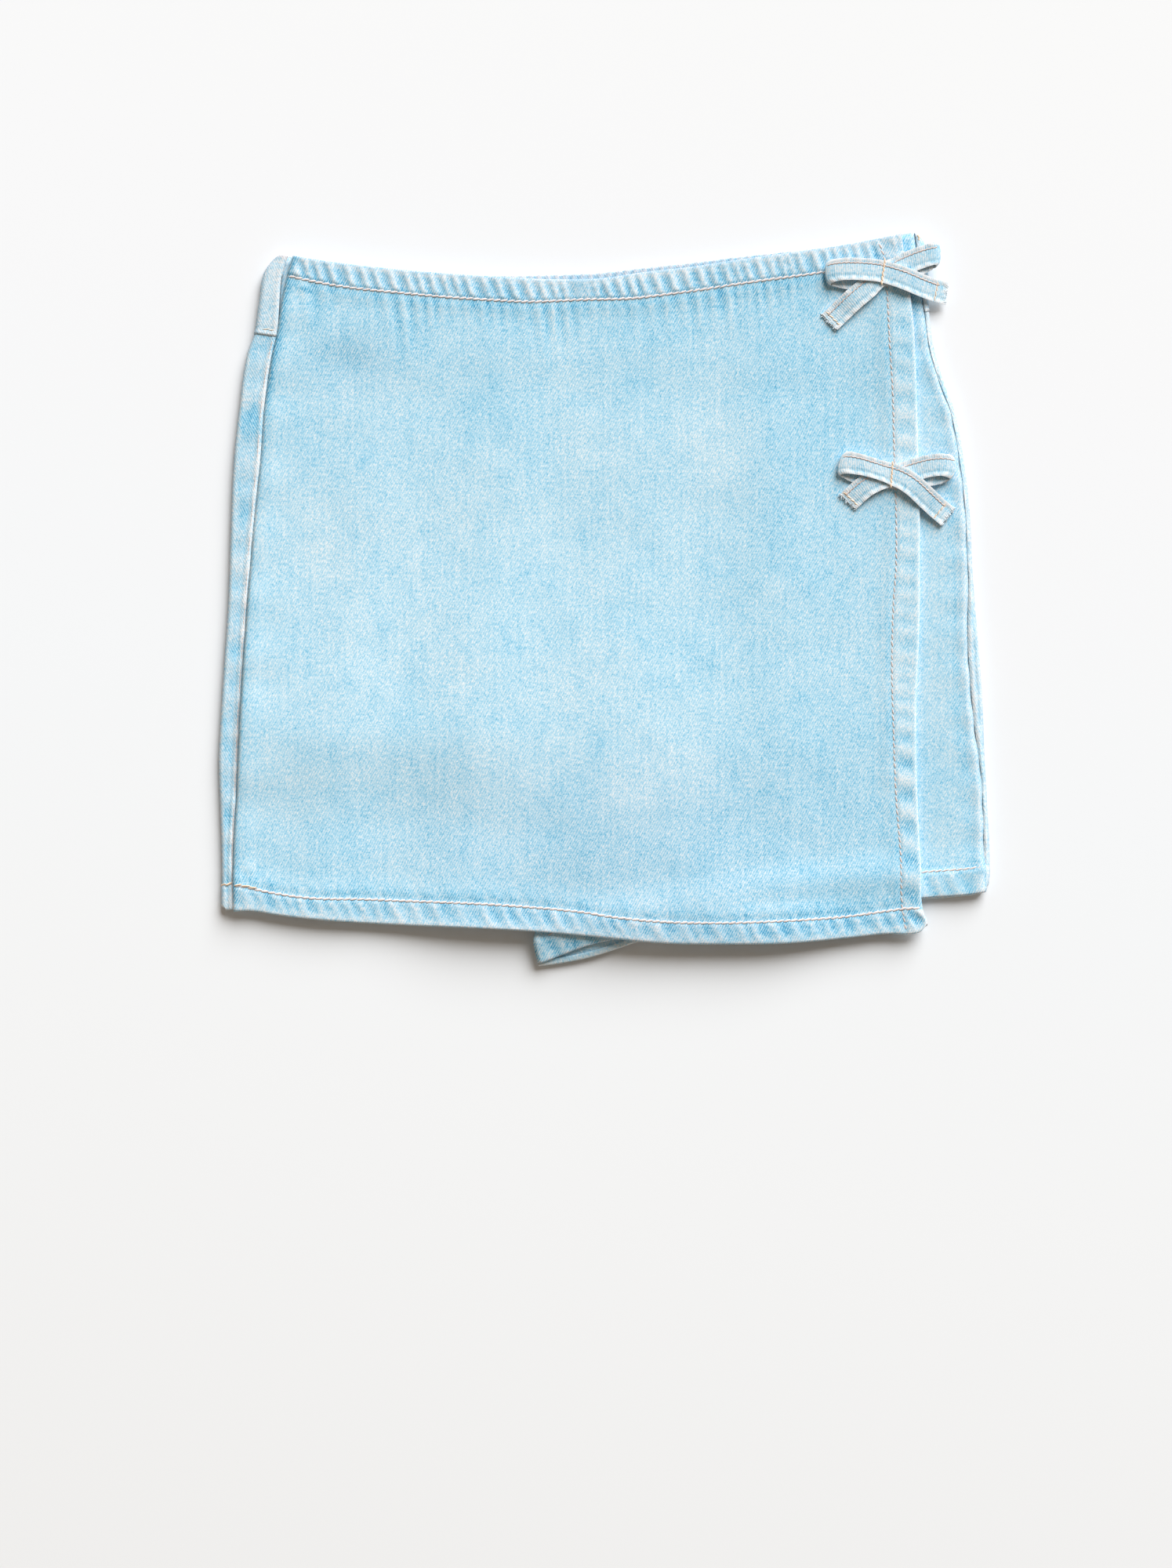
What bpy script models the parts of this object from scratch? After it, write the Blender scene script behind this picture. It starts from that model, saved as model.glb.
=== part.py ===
# Denim wrap mini skirt with inner shorts, laid flat and face up.
# The tables are in millimetres, with x to the right, y towards the waist and z up from the table top.
import bmesh
import bpy
import math

MM = 0.001
CENTRE = (0.34, -0.3)

# Cloth: walls, the gap left at seams, and the air between layers that lie on each other
CLOTH = 1.0
TURNED_HEM = 1.6
WRAP_HEM = 1.9
SEAM_GAP = 0.3
LAYER_GAP = 0.5
AIR = 0.5
HEM_DEPTH = 11.0
HEM_RAMP = 15.0
CASING_DEPTH = 10.2
PLACKET_WIDTH = 11.5
GATHER_HEIGHT = 0.6
GATHERED_Y = 112.0
FLAT_Y = 88.0
PUCKER_HEIGHT = 0.7
STRAP = 1.1
STRAP_WIDTH = 9.8

# Side folds: height of the upper face where the back comes round to the front
LEFT_FOLD_HEIGHT = 4.4
RIGHT_FOLD_HEIGHT = 3.8
FOLD_STEPS = 6
SIDE_RISE_WIDTH = 42.0

# Crotch: the legs part here, and the right leg climbs over the left one below it
CROTCH_Y = -76.0
CROSSING_Y = -104.0
LIFT_START_Y = -58.0
LIFTED_Y = -103.0
CLIMB_WIDTH = 58.0
WRAP_SPREAD = 12.0

# Points x, y down the left side seam of the wrap panel
LEFT_SEAM = (
    (-138.3, 152.4), (-140.7, 144.4), (-143.9, 128.3), (-145.4, 118.0), (-148.0, 105.9), (-151.2, 83.5),
    (-152.8, 61.1), (-155.2, 38.7), (-158.2, 3.3), (-161.4, -46.4), (-163.2, -84.2), (-164.9, -115.3),
    (-164.6, -139.5),
)
# Points x, y down the left outline, where the back folds round
LEFT_FOLD = (
    (-146.4, 153.7), (-148.6, 150.0), (-151.8, 144.4), (-153.6, 133.7), (-156.1, 117.6), (-158.9, 110.0),
    (-162.9, 83.5), (-165.2, 61.1), (-166.7, 27.0), (-167.7, -2.6), (-169.4, -27.8), (-171.0, -52.7),
    (-171.9, -71.6), (-171.4, -90.1), (-170.6, -114.3), (-170.5, -139.5),
)
# Points x, y down the right side seam of the shorts
RIGHT_SEAM = (
    (138.4, 163.6), (139.3, 156.6), (142.6, 130.0), (146.5, 109.7), (150.2, 95.9), (155.0, 83.8), (159.0, 62.8),
    (161.9, 38.8), (162.6, 12.0), (162.2, -20.0), (163.8, -43.6), (165.8, -62.1), (168.0, -77.5),
    (169.1, -96.8), (169.4, -131.0),
)
# Points x, y down the right outline
RIGHT_FOLD = (
    (140.4, 163.6), (143.2, 158.0), (145.1, 131.4), (147.4, 112.2), (151.8, 96.8), (156.7, 83.8), (160.7, 62.8),
    (163.5, 38.8), (164.9, 10.0), (167.1, -17.3), (169.1, -43.6), (170.1, -69.8), (171.2, -89.8),
    (171.7, -128.3), (170.9, -131.0),
)
# Points x, y down the free edge of the wrap panel
FREE_EDGE = (
    (132.5, 162.1), (133.7, 153.1), (136.5, 134.6), (138.1, 120.0), (139.3, 90.0), (140.1, 63.5), (140.7, 41.1),
    (140.4, -17.3), (139.2, -43.6), (139.2, -69.8), (140.0, -96.4), (141.4, -120.0), (142.4, -147.0),
)
# Points x, y along the waist edge of the wrap panel, left to right
WRAP_WAIST = (
    (-138.3, 152.4), (-131.1, 151.2), (-114.8, 148.9), (-92.8, 146.5), (-70.4, 144.6), (-45.5, 143.0),
    (-22.4, 141.9), (-2.1, 142.2), (18.2, 145.1), (38.5, 147.4), (62.7, 151.0), (86.8, 154.3), (111.0, 157.9),
    (132.5, 162.1),
)
# Points x, y along the hem of the wrap panel
WRAP_HEM_EDGE = (
    (-164.6, -139.5), (-157.0, -139.3), (-144.6, -141.2), (-125.7, -143.3), (-94.5, -145.3), (-57.0, -146.8),
    (-31.9, -148.2), (-7.0, -150.3), (28.0, -153.6), (54.6, -154.0), (80.9, -153.6), (107.1, -151.4),
    (127.1, -149.0), (142.4, -147.0),
)
# Points x, y along the upper edge of the gathered back waistband
BAND_TOP = (
    (-146.4, 153.7), (-138.0, 152.0), (-131.0, 150.2), (-114.8, 147.9), (-92.8, 145.5), (-70.4, 143.8),
    (-45.5, 143.7), (-22.4, 144.1), (-2.1, 144.9), (18.2, 147.3), (41.7, 149.8), (62.7, 152.4), (84.4, 154.7),
    (111.0, 157.4), (125.0, 160.0), (135.5, 162.9), (140.4, 163.6),
)
# Points x, y along the seam between the back waistband and the back legs
BAND_SEAM = (
    (-157.0, 117.9), (-120.0, 112.8), (-80.0, 109.4), (-40.0, 108.0), (0.0, 109.6), (40.0, 113.9), (80.0, 119.0),
    (120.0, 124.4), (146.0, 128.0),
)
# Points x, y along the hem of the left leg, hidden just above the hem of the wrap panel
LEFT_LEG_HEM = (
    (-170.5, -139.5), (-157.0, -137.5), (-125.0, -139.6), (-90.0, -142.0), (-50.0, -144.2), (-10.0, -146.8),
    (29.0, -149.0),
)
# Points x, y along the hems of the right leg: the back hangs lower than the front at the inner corner
RIGHT_BACK_HEM = (
    (-29.0, -163.9), (-21.4, -163.0), (-6.3, -160.1), (5.6, -156.3), (16.1, -152.8), (80.5, -143.0),
    (142.5, -134.3), (163.8, -132.5), (170.9, -131.0),
)
RIGHT_FRONT_HEM = (
    (-27.0, -162.3), (-17.5, -158.5), (-6.3, -154.5), (5.0, -151.9), (30.0, -149.3), (80.5, -141.6),
    (142.5, -133.6), (163.8, -131.9), (169.4, -131.0),
)
# Points x, y down the inner edge of each leg: centre seam, crotch, then inner leg seam
LEFT_INNER = (
    (-0.2, 150.0), (-0.2, 40.0), (-0.2, -76.0), (-0.2, -104.0), (5.0, -113.0), (14.0, -127.0), (29.0, -149.0),
)
RIGHT_INNER = (
    (0.2, 150.0), (0.2, 40.0), (0.2, -76.0), (0.2, -104.0), (-6.0, -113.0), (-18.0, -130.0), (-31.0, -150.0),
    (-29.0, -163.9),
)
# Soft swells of the wrap panel: x and y at the upper end, x and y at the lower end, half width, height
SWELLS = (
    (-96.0, 120.0, -128.0, -150.0, 17.0, 0.7),
    (-36.0, 128.0, -66.0, -150.0, 20.0, 0.9),
    (20.0, 118.0, 4.0, -150.0, 22.0, 0.6),
    (74.0, 130.0, 84.0, -150.0, 19.0, 0.8),
)
# Path of a bow strap: x and y from the middle of the bow, z above its seat, turn of the width in plan, tilt
# Left tail, middle, right loop out and back, middle, left loop out and back, middle, right tail
UPPER_BOW = (
    (-26.0, -22.2, -0.9, 134, -3), (-21.0, -17.4, -0.2, 134, -1), (-15.5, -12.2, 1.9, 130, 2),
    (-9.0, -6.8, 2.3, 124, 0), (-3.5, -2.0, 2.1, 104, 0), (3.0, 1.4, 2.1, 100, 0), (9.0, 4.2, 2.3, 106, 0),
    (15.5, 6.6, 3.1, 98, 0), (20.6, 7.9, 3.3, 92, 0), (22.9, 7.7, 1.9, 88, 0), (20.8, 6.4, 0.6, 88, 0),
    (15.0, 4.0, 0.6, 98, 0), (8.0, 1.2, 0.7, 98, 0), (0.0, -1.2, 0.7, 92, 0), (-8.0, -2.4, 0.7, 88, 0),
    (-16.0, -2.8, 0.5, 92, 0), (-23.5, -2.0, 0.4, 94, 0), (-27.6, -0.8, 1.7, 94, 0), (-26.0, 0.4, 3.3, 92, 0),
    (-20.0, 1.1, 4.3, 90, 0), (-12.0, 1.0, 4.3, 86, 0), (-4.5, 0.4, 3.6, 84, 0), (2.5, -1.4, 3.6, 76, 0),
    (8.5, -3.6, 4.1, 72, 0), (15.0, -6.0, 2.8, 72, 0), (21.0, -8.0, 1.1, 78, 3), (26.0, -9.0, -0.2, 82, 5),
)
LOWER_BOW = (
    (-24.0, -13.2, -0.1, 138, 3), (-19.0, -8.6, 1.5, 132, 2), (-13.5, -4.9, 2.4, 118, 0),
    (-8.0, -2.2, 2.4, 108, 0), (-3.0, -0.6, 2.1, 98, 0), (3.0, 0.6, 2.1, 98, 0), (9.0, 2.4, 2.5, 104, 0),
    (15.5, 4.0, 3.5, 98, 0), (22.0, 4.4, 3.8, 88, 0), (26.2, 3.4, 2.2, 84, 0), (24.0, 1.8, 0.6, 84, 0),
    (18.0, 0.4, 0.6, 88, 0), (9.0, -0.4, 0.7, 90, 0), (0.0, -1.2, 0.7, 90, 0), (-8.0, -0.8, 0.7, 84, 0),
    (-15.5, 0.8, 0.6, 78, 0), (-21.0, 2.6, 0.7, 74, 0), (-25.0, 4.6, 2.1, 76, 0), (-22.6, 5.4, 3.7, 82, 0),
    (-16.0, 4.6, 4.3, 96, 0), (-9.0, 2.6, 4.3, 100, 0), (-3.5, 0.8, 3.6, 92, 0), (2.5, -1.4, 3.6, 66, 0),
    (8.0, -5.0, 4.1, 54, 0), (14.0, -10.4, 2.4, 48, 0), (19.0, -14.8, 0.9, 50, -2), (23.4, -18.4, 0.2, 52, -3),
)
UPPER_BOW_MIDDLE = (126.4, 144.7, 6.6)
LOWER_BOW_MIDDLE = (129.7, 54.6, 5.7)
BOW_STEPS = 60


def blend(low, high, value):
    share = min(1.0, max(0.0, (value - low) / (high - low)))
    return share * share * (3.0 - 2.0 * share)


def spline(points, share):
    """Point at a share of the way along a smooth curve through a table's rows."""
    last = len(points) - 1
    place = min(max(share, 0.0), 1.0) * last
    start = min(int(place), last - 1)
    t = place - start
    before = points[max(start - 1, 0)]
    after = points[min(start + 2, last)]
    row = []
    for a, b, c, d in zip(before, points[start], points[start + 1], after):
        row.append(b + 0.5 * t * (c - a + t * (2.0 * a - 5.0 * b + 4.0 * c - d + t * (3.0 * (b - c) + d - a))))
    return row


def read(table, value, key, wanted):
    """Smooth reading of one column of a table where another column has the value."""
    rows = table if table[0][key] < table[-1][key] else table[::-1]
    value = min(max(value, rows[0][key]), rows[-1][key])
    index = 0
    while index < len(rows) - 2 and rows[index + 1][key] < value:
        index += 1
    low, high = rows[index], rows[index + 1]
    span = high[key] - low[key]
    t = (value - low[key]) / span
    slope = (high[wanted] - low[wanted]) / span
    slopes = []
    for near, far in ((low, rows[max(index - 1, 0)]), (high, rows[min(index + 2, len(rows) - 1)])):
        run = far[key] - near[key]
        slopes.append(slope if run == 0.0 else 0.5 * (slope + (far[wanted] - near[wanted]) / run))
    return ((1.0 - t) ** 2 * (1.0 + 2.0 * t) * low[wanted] + t * t * (3.0 - 2.0 * t) * high[wanted]
            + span * t * (1.0 - t) * ((1.0 - t) * slopes[0] - t * slopes[1]))


def x_at(table, y):
    return read(table, y, 1, 0)


def y_at(table, x):
    return read(table, x, 0, 1)


def patch(u, v, top, bottom, left, right):
    """Point of a panel between four edge tables; u runs left to right and v from top to bottom."""
    (top_left, top_right), (low_left, low_right) = (top[0], top[-1]), (bottom[0], bottom[-1])
    upper = mix(top_left, top_right, u)
    lower = mix(low_left, low_right, u)
    near = mix(top_left, low_left, v)
    far = mix(top_right, low_right, v)
    across = x_at(left, near[1]) - near[0], x_at(right, far[1]) - far[0]
    down = y_at(top, upper[0]) - upper[1], y_at(bottom, lower[0]) - lower[1]
    x, y = mix(upper, lower, v)
    return x + (1.0 - u) * across[0] + u * across[1], y + (1.0 - v) * down[0] + v * down[1]


def mix(a, b, share):
    return a[0] + (b[0] - a[0]) * share, a[1] + (b[1] - a[1]) * share


def spread(stops, count):
    """Even steps between stops, with a count of steps for each stretch."""
    places = [stops[0]]
    for low, high, steps in zip(stops, stops[1:], count):
        places += [low + (high - low) * (step + 1) / steps for step in range(steps)]
    return places


def hem_share(table, x, y):
    """1 within the turned hem above an edge, 0 above it."""
    return 1.0 - blend(HEM_DEPTH, HEM_DEPTH + HEM_RAMP, y - y_at(table, x))


def turned(table, x, y):
    return CLOTH + (TURNED_HEM - CLOTH) * hem_share(table, x, y)


def side_rise(x, y):
    """Rise of the front towards the right side seam, where it meets the fold of the back."""
    near = 1.0 - blend(0.0, SIDE_RISE_WIDTH, x_at(RIGHT_SEAM, y) - x)
    return near * (RIGHT_FOLD_HEIGHT - 2.0 * CLOTH - layer_gap(y))


def layer_gap(y):
    """Room between back and front: the gathers of the waistband take more at the waist."""
    return LAYER_GAP + (GATHER_HEIGHT + SEAM_GAP - LAYER_GAP) * blend(FLAT_Y, GATHERED_Y, y)


def left_front_under(x, y):
    return turned(LEFT_LEG_HEM, x, y) + layer_gap(y)


def left_front_top(x, y):
    return left_front_under(x, y) + turned(LEFT_LEG_HEM, x, y)


def climb(x, y, spread_out=0.0):
    """1 where the right leg lies on the left one, and 0 away from the crossing."""
    edge = x_at(LEFT_INNER, y) + 9.0 + spread_out
    across = 1.0 - blend(edge, edge + CLIMB_WIDTH + spread_out, x)
    down = 1.0 - blend(LIFTED_Y + spread_out, LIFT_START_Y + 3.0 * spread_out, y)
    droop = 1.0 - 0.6 * blend(2.0, 18.0, y_at(LEFT_LEG_HEM, x) - y)
    return across * down * droop


def right_back_under(x, y):
    return climb(x, y) * (left_front_top(x, y) + AIR)


def right_front_under(x, y):
    rest = turned(RIGHT_BACK_HEM, x, y) + layer_gap(y)
    return right_back_under(x, y) + rest + side_rise(x, y)


def right_front_top(x, y):
    return right_front_under(x, y) + turned(RIGHT_FRONT_HEM, x, y)


def swell(x, y):
    height = 0.0
    for top_x, top_y, low_x, low_y, half_width, rise in SWELLS:
        share = (top_y - y) / (top_y - low_y)
        middle = top_x + (low_x - top_x) * share
        height += rise * blend(0.0, 0.35, share) * math.exp(-((x - middle) / half_width) ** 2)
    return height


def wrap_under(x, y):
    right_inner = x_at(RIGHT_INNER, y)
    share = blend(right_inner - 80.0, right_inner - 10.0, x)
    left, right = left_front_top(x, y), right_front_top(x, y)
    bridge = (climb(x, y, WRAP_SPREAD) - climb(x, y)) * (left + AIR)
    return left + (right - left) * share + AIR + swell(x, y) + bridge


def material(name, colour, roughness):
    shade = bpy.data.materials.new(name)
    shade.use_nodes = True
    shader = shade.node_tree.nodes["Principled BSDF"]
    shader.inputs["Base Color"].default_value = (*colour, 1.0)
    shader.inputs["Roughness"].default_value = roughness
    shader.inputs["Metallic"].default_value = 0.0
    return shade


def cloth_piece(name, columns, rows, place, thickness, colour, offset=1.0, finer=None):
    """A closed cloth piece: a grid laid on its form, then given its wall.

    place(column, row) gives a point and thickness(column, row) the wall there.
    finer(row) names the rows whose columns are split again for ripples.
    """
    mesh = bmesh.new()
    bmesh.ops.create_grid(mesh, x_segments=len(columns) - 1, y_segments=len(rows) - 1, size=0.5)
    for vert in mesh.verts:
        column = round((vert.co.x + 0.5) * (len(columns) - 1))
        row = round((0.5 - vert.co.y) * (len(rows) - 1))
        vert.co = (columns[column], rows[row], 0.0)
    if finer:
        level = [edge for edge in mesh.edges
                 if edge.verts[0].co.y == edge.verts[1].co.y and finer(edge.verts[0].co.y)]
        bmesh.ops.subdivide_edges(mesh, edges=level, cuts=2, use_grid_fill=True)
    walls = []
    for vert in mesh.verts:
        column, row = vert.co.x, vert.co.y
        walls.append(thickness(column, row))
        x, y, z = place(column, row)
        vert.co = ((x - CENTRE[0]) * MM, (y - CENTRE[1]) * MM, z * MM)
    mesh.normal_update()
    if sum(face.normal.z * face.calc_area() for face in mesh.faces) < 0.0:
        bmesh.ops.reverse_faces(mesh, faces=mesh.faces)
    data = bpy.data.meshes.new(name)
    mesh.to_mesh(data)
    mesh.free()
    piece = bpy.data.objects.new(name, data)
    garment.objects.link(piece)
    data.materials.append(material(name + "_cloth", colour, 0.88))
    widest = max(walls)
    group = piece.vertex_groups.new(name="wall")
    for index, wall in enumerate(walls):
        group.add([index], wall / widest, "REPLACE")
    shell = piece.modifiers.new("wall", "SOLIDIFY")
    shell.thickness = widest * MM
    shell.offset = offset
    shell.use_even_offset = True
    shell.vertex_group = group.name
    return piece


def wrap_panel():
    casing = CASING_DEPTH / 300.0
    hem = 1.0 - HEM_DEPTH / 300.0
    placket = 1.0 - PLACKET_WIDTH / 285.0
    columns = spread((0.0, placket, placket + 0.006, 1.0), (30, 1, 1))
    rows = spread((0.0, casing, casing + 0.008, 0.72, 0.87, hem - 0.006, hem, 1.0), (2, 1, 6, 4, 2, 1, 1))
    puckers = 45

    def place(u, v):
        slant = 0.010 * min(v / casing, 1.0) * math.sin(math.pi * u) if v <= casing else 0.0
        x, y = patch(min(u + slant, 1.0), v, WRAP_WAIST, WRAP_HEM_EDGE, LEFT_SEAM, FREE_EDGE)
        return x + SEAM_GAP * 0.5 * (1.0 - u), y, wrap_under(x, y)

    def thickness(u, v):
        if v <= casing + 0.0001:
            ridge = 0.5 + 0.5 * math.cos(2.0 * math.pi * puckers * u / placket)
            uneven = 0.7 + 0.3 * math.sin(23.0 * u) * math.sin(57.0 * u)
            smooth = blend(0.018, 0.03, abs(u - 0.482)) * (1.0 - blend(placket - 0.03, placket, u))
            return WRAP_HEM + PUCKER_HEIGHT * ridge * uneven * smooth
        return WRAP_HEM if v > hem - 0.0001 or u > placket + 0.003 else CLOTH

    cloth_piece("wrap_panel", columns, rows, place, thickness, (0.40, 0.66, 0.82),
                finer=lambda row: row <= casing + 0.0001)


def front_leg(name, top, hem_edge, left, right, under, near_inner, steps, colour):
    top_y = y_at(top, 0.0)
    centre_hem_y = y_at(hem_edge, 0.0)
    crotch, crossing = ((top_y - y) / (top_y - centre_hem_y) for y in (CROTCH_Y, CROSSING_Y))
    rows = spread((0.0, 0.7 * crotch, crotch, crossing, 0.95, 0.96, 1.0), (8, 6, 4, 5, 1, 1))
    columns = spread((0.0, near_inner, 1.0), steps)

    def place(u, v):
        x, y = patch(u, v, top, hem_edge, left, right)
        return x, y, under(x, y)

    def thickness(u, v):
        return TURNED_HEM if v > 0.96 else CLOTH

    cloth_piece(name, columns, rows, place, thickness, colour)


def back_section(side, inner_x, fold_x, seam_x, height, y, u):
    """Point round a back piece: u 0 to 1 along the table top, 1 to 2 up the fold, 2 to 3 to the seam."""
    radius = height / 2.0
    turn_x = fold_x - side * radius
    if u <= 1.0:
        return inner_x + (turn_x - inner_x) * u, y, 0.0
    if u <= 2.0:
        angle = math.pi * (u - 1.0)
        return turn_x + side * radius * math.sin(angle), y, radius - radius * math.cos(angle)
    end_x = min(side * seam_x, side * turn_x - SEAM_GAP) * side
    return turn_x + (end_x - turn_x) * (u - 2.0), y, height


def back_leg(name, side, hem_edge, inner, fold, seam, height, under, colour):
    fold_top_y = y_at(BAND_SEAM, side * 170.0) - SEAM_GAP
    inner_top_y = y_at(BAND_SEAM, 0.0) - SEAM_GAP
    hem_inner = hem_edge[-1] if side < 0 else hem_edge[0]
    hem_fold = hem_edge[0] if side < 0 else hem_edge[-1]
    crotch, crossing = ((inner_top_y - y) / (inner_top_y - hem_inner[1]) for y in (CROTCH_Y, CROSSING_Y))
    rows = spread((0.0, 0.7 * crotch, crotch, crossing, 0.95, 0.96, 1.0), (7, 6, 4, 5, 1, 1))
    columns = spread((0.0, 0.64, 1.0, 2.0, 3.0), (13, 2, FOLD_STEPS, 1))

    def place(u, v):
        inner_y = inner_top_y + (hem_inner[1] - inner_top_y) * v
        fold_y = fold_top_y + (hem_fold[1] - fold_top_y) * v
        inner_x = x_at(inner, inner_y)
        fold_x = x_at(fold, fold_y)
        x, y, z = back_section(side, inner_x, fold_x, x_at(seam, fold_y) + side * SEAM_GAP, height, fold_y, u)
        if u <= 1.0:
            share = (x - inner_x) / (fold_x - inner_x)
            top_y = y_at(BAND_SEAM, x) - SEAM_GAP
            straight_top = inner_top_y + (fold_top_y - inner_top_y) * share
            straight_hem = hem_inner[1] + (hem_fold[1] - hem_inner[1]) * share
            y = inner_y + (fold_y - inner_y) * share
            y += (1.0 - v) * (top_y - straight_top) + v * (y_at(hem_edge, x) - straight_hem)
            z = under(x, y)
        return x, y, z

    def thickness(u, v):
        return TURNED_HEM if v > 0.96 else CLOTH

    cloth_piece(name, columns, rows, place, thickness, colour)


def back_waistband():
    gathers = 76
    columns = spread((-3.0, -2.0, -1.0, 1.0, 2.0, 3.0), (1, FOLD_STEPS, gathers * 2, FOLD_STEPS, 1))
    rows = spread((0.0, 1.0), (3,))

    def place(u, v):
        left_y = BAND_TOP[0][1] + (BAND_SEAM[0][1] - BAND_TOP[0][1]) * v
        right_y = BAND_TOP[-1][1] + (BAND_SEAM[-1][1] - BAND_TOP[-1][1]) * v
        left_x = x_at(LEFT_FOLD, left_y) + LEFT_FOLD_HEIGHT / 2.0
        right_x = x_at(RIGHT_FOLD, right_y) - RIGHT_FOLD_HEIGHT / 2.0
        if u < -1.0:
            seam_x = back_edge_left(left_y)
            return back_section(-1.0, 0.0, x_at(LEFT_FOLD, left_y), seam_x, LEFT_FOLD_HEIGHT, left_y, -u)
        if u > 1.0:
            seam_x = x_at(RIGHT_SEAM, right_y) + SEAM_GAP
            return back_section(1.0, 0.0, x_at(RIGHT_FOLD, right_y), seam_x, RIGHT_FOLD_HEIGHT, right_y, u)
        share = (u + 1.0) / 2.0
        x = left_x + (right_x - left_x) * share
        y = (1.0 - v) * y_at(BAND_TOP, x) + v * y_at(BAND_SEAM, x)
        edges = blend(0.0, 0.06, share) * blend(0.0, 0.06, 1.0 - share)
        ridge = 0.5 - 0.5 * math.cos(2.0 * math.pi * gathers * share)
        return x, y, (GATHER_HEIGHT - 0.1) * ridge * edges

    cloth_piece("back_waistband", columns, rows, place, lambda u, v: CLOTH, (0.47, 0.66, 0.80))


def left_stand_off(y):
    """Width of the shorts' edge that shows at the waist between the back and the wrap panel."""
    return 2.4 * blend(120.0, 148.0, y)


def back_edge_left(y):
    return x_at(LEFT_SEAM, y) - 2.5 * SEAM_GAP - left_stand_off(y)


def bow(name, path, middle):
    columns = spread((0.0, 1.0), (BOW_STEPS,))
    rows = spread((-0.5, 0.5), (3,))

    def place(u, v):
        x, y, z, turn, tilt = spline(path, u)
        across = STRAP_WIDTH * -v
        x += middle[0] + across * math.cos(math.radians(turn)) * math.cos(math.radians(tilt))
        y += middle[1] + across * math.sin(math.radians(turn)) * math.cos(math.radians(tilt))
        return x, y, middle[2] + z + across * math.sin(math.radians(tilt))

    cloth_piece(name, columns, rows, place, lambda u, v: STRAP, (0.50, 0.72, 0.85), offset=0.0)


for thing in list(bpy.data.objects):
    bpy.data.objects.remove(thing, do_unlink=True)
garment = bpy.data.collections.new("denim_wrap_skirt")
bpy.context.scene.collection.children.link(garment)

# The shorts' front stops just below the waist edge of the wrap panel, and shows to the right of it
shorts_waist = tuple((x, y - 1.2) for x, y in WRAP_WAIST)
waist_left = tuple(row for row in shorts_waist if row[0] < -5.0) + ((-0.2, 141.2),)
waist_right = ((0.2, 141.2),) + tuple(row for row in shorts_waist if 5.0 < row[0] < 120.0) \
    + ((132.0, 161.2), (137.6, 162.4))
left_edge = tuple((x - left_stand_off(y), y) for x, y in LEFT_SEAM)
fold_room = RIGHT_FOLD_HEIGHT / 2.0 + 4.0 * SEAM_GAP
right_edge = tuple((min(x, x_at(RIGHT_FOLD, y) - fold_room), y) for x, y in RIGHT_SEAM)

back_leg("back_leg_left", -1.0, LEFT_LEG_HEM, LEFT_INNER, LEFT_FOLD,
         tuple((back_edge_left(y) + SEAM_GAP, y) for x, y in LEFT_SEAM), LEFT_FOLD_HEIGHT,
         lambda x, y: 0.0, (0.44, 0.65, 0.79))
back_leg("back_leg_right", 1.0, RIGHT_BACK_HEM, RIGHT_INNER, RIGHT_FOLD, RIGHT_SEAM, RIGHT_FOLD_HEIGHT,
         right_back_under, (0.44, 0.65, 0.79))
back_waistband()
front_leg("front_leg_left", waist_left, LEFT_LEG_HEM, left_edge, LEFT_INNER, left_front_under,
          0.5, (5, 5), (0.40, 0.65, 0.80))
front_leg("front_leg_right", waist_right, RIGHT_FRONT_HEM, RIGHT_INNER, right_edge, right_front_under,
          0.64, (13, 4), (0.40, 0.65, 0.80))
wrap_panel()
bow("bow_upper", UPPER_BOW, UPPER_BOW_MIDDLE)
bow("bow_lower", LOWER_BOW, LOWER_BOW_MIDDLE)
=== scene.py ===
# A light denim wrap mini skirt sewn over shorts, laid flat and face up, seen from straight above
import math
import random

import bmesh
import bpy
import numpy as np
from mathutils import Matrix, Vector, noise


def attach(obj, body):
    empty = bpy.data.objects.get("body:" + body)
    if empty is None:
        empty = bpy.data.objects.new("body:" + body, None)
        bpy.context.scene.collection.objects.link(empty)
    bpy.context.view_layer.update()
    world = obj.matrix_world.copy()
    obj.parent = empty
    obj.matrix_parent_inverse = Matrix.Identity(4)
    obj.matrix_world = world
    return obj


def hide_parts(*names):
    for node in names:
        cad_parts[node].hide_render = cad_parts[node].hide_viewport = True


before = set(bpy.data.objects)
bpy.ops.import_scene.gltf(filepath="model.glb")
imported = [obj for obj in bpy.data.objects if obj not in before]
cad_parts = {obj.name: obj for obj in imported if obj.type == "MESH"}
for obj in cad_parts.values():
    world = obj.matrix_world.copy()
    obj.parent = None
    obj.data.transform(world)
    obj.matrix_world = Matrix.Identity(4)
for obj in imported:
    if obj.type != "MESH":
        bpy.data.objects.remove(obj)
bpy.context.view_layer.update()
print("frame loaded:", sorted(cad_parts))

mm = 0.001
rounds = 8  # repeats that bring a first guess to where two curves cross
centreShift = (0.34, -0.3)  # the middle of the garment's outline, in the tables' millimetres

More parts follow.
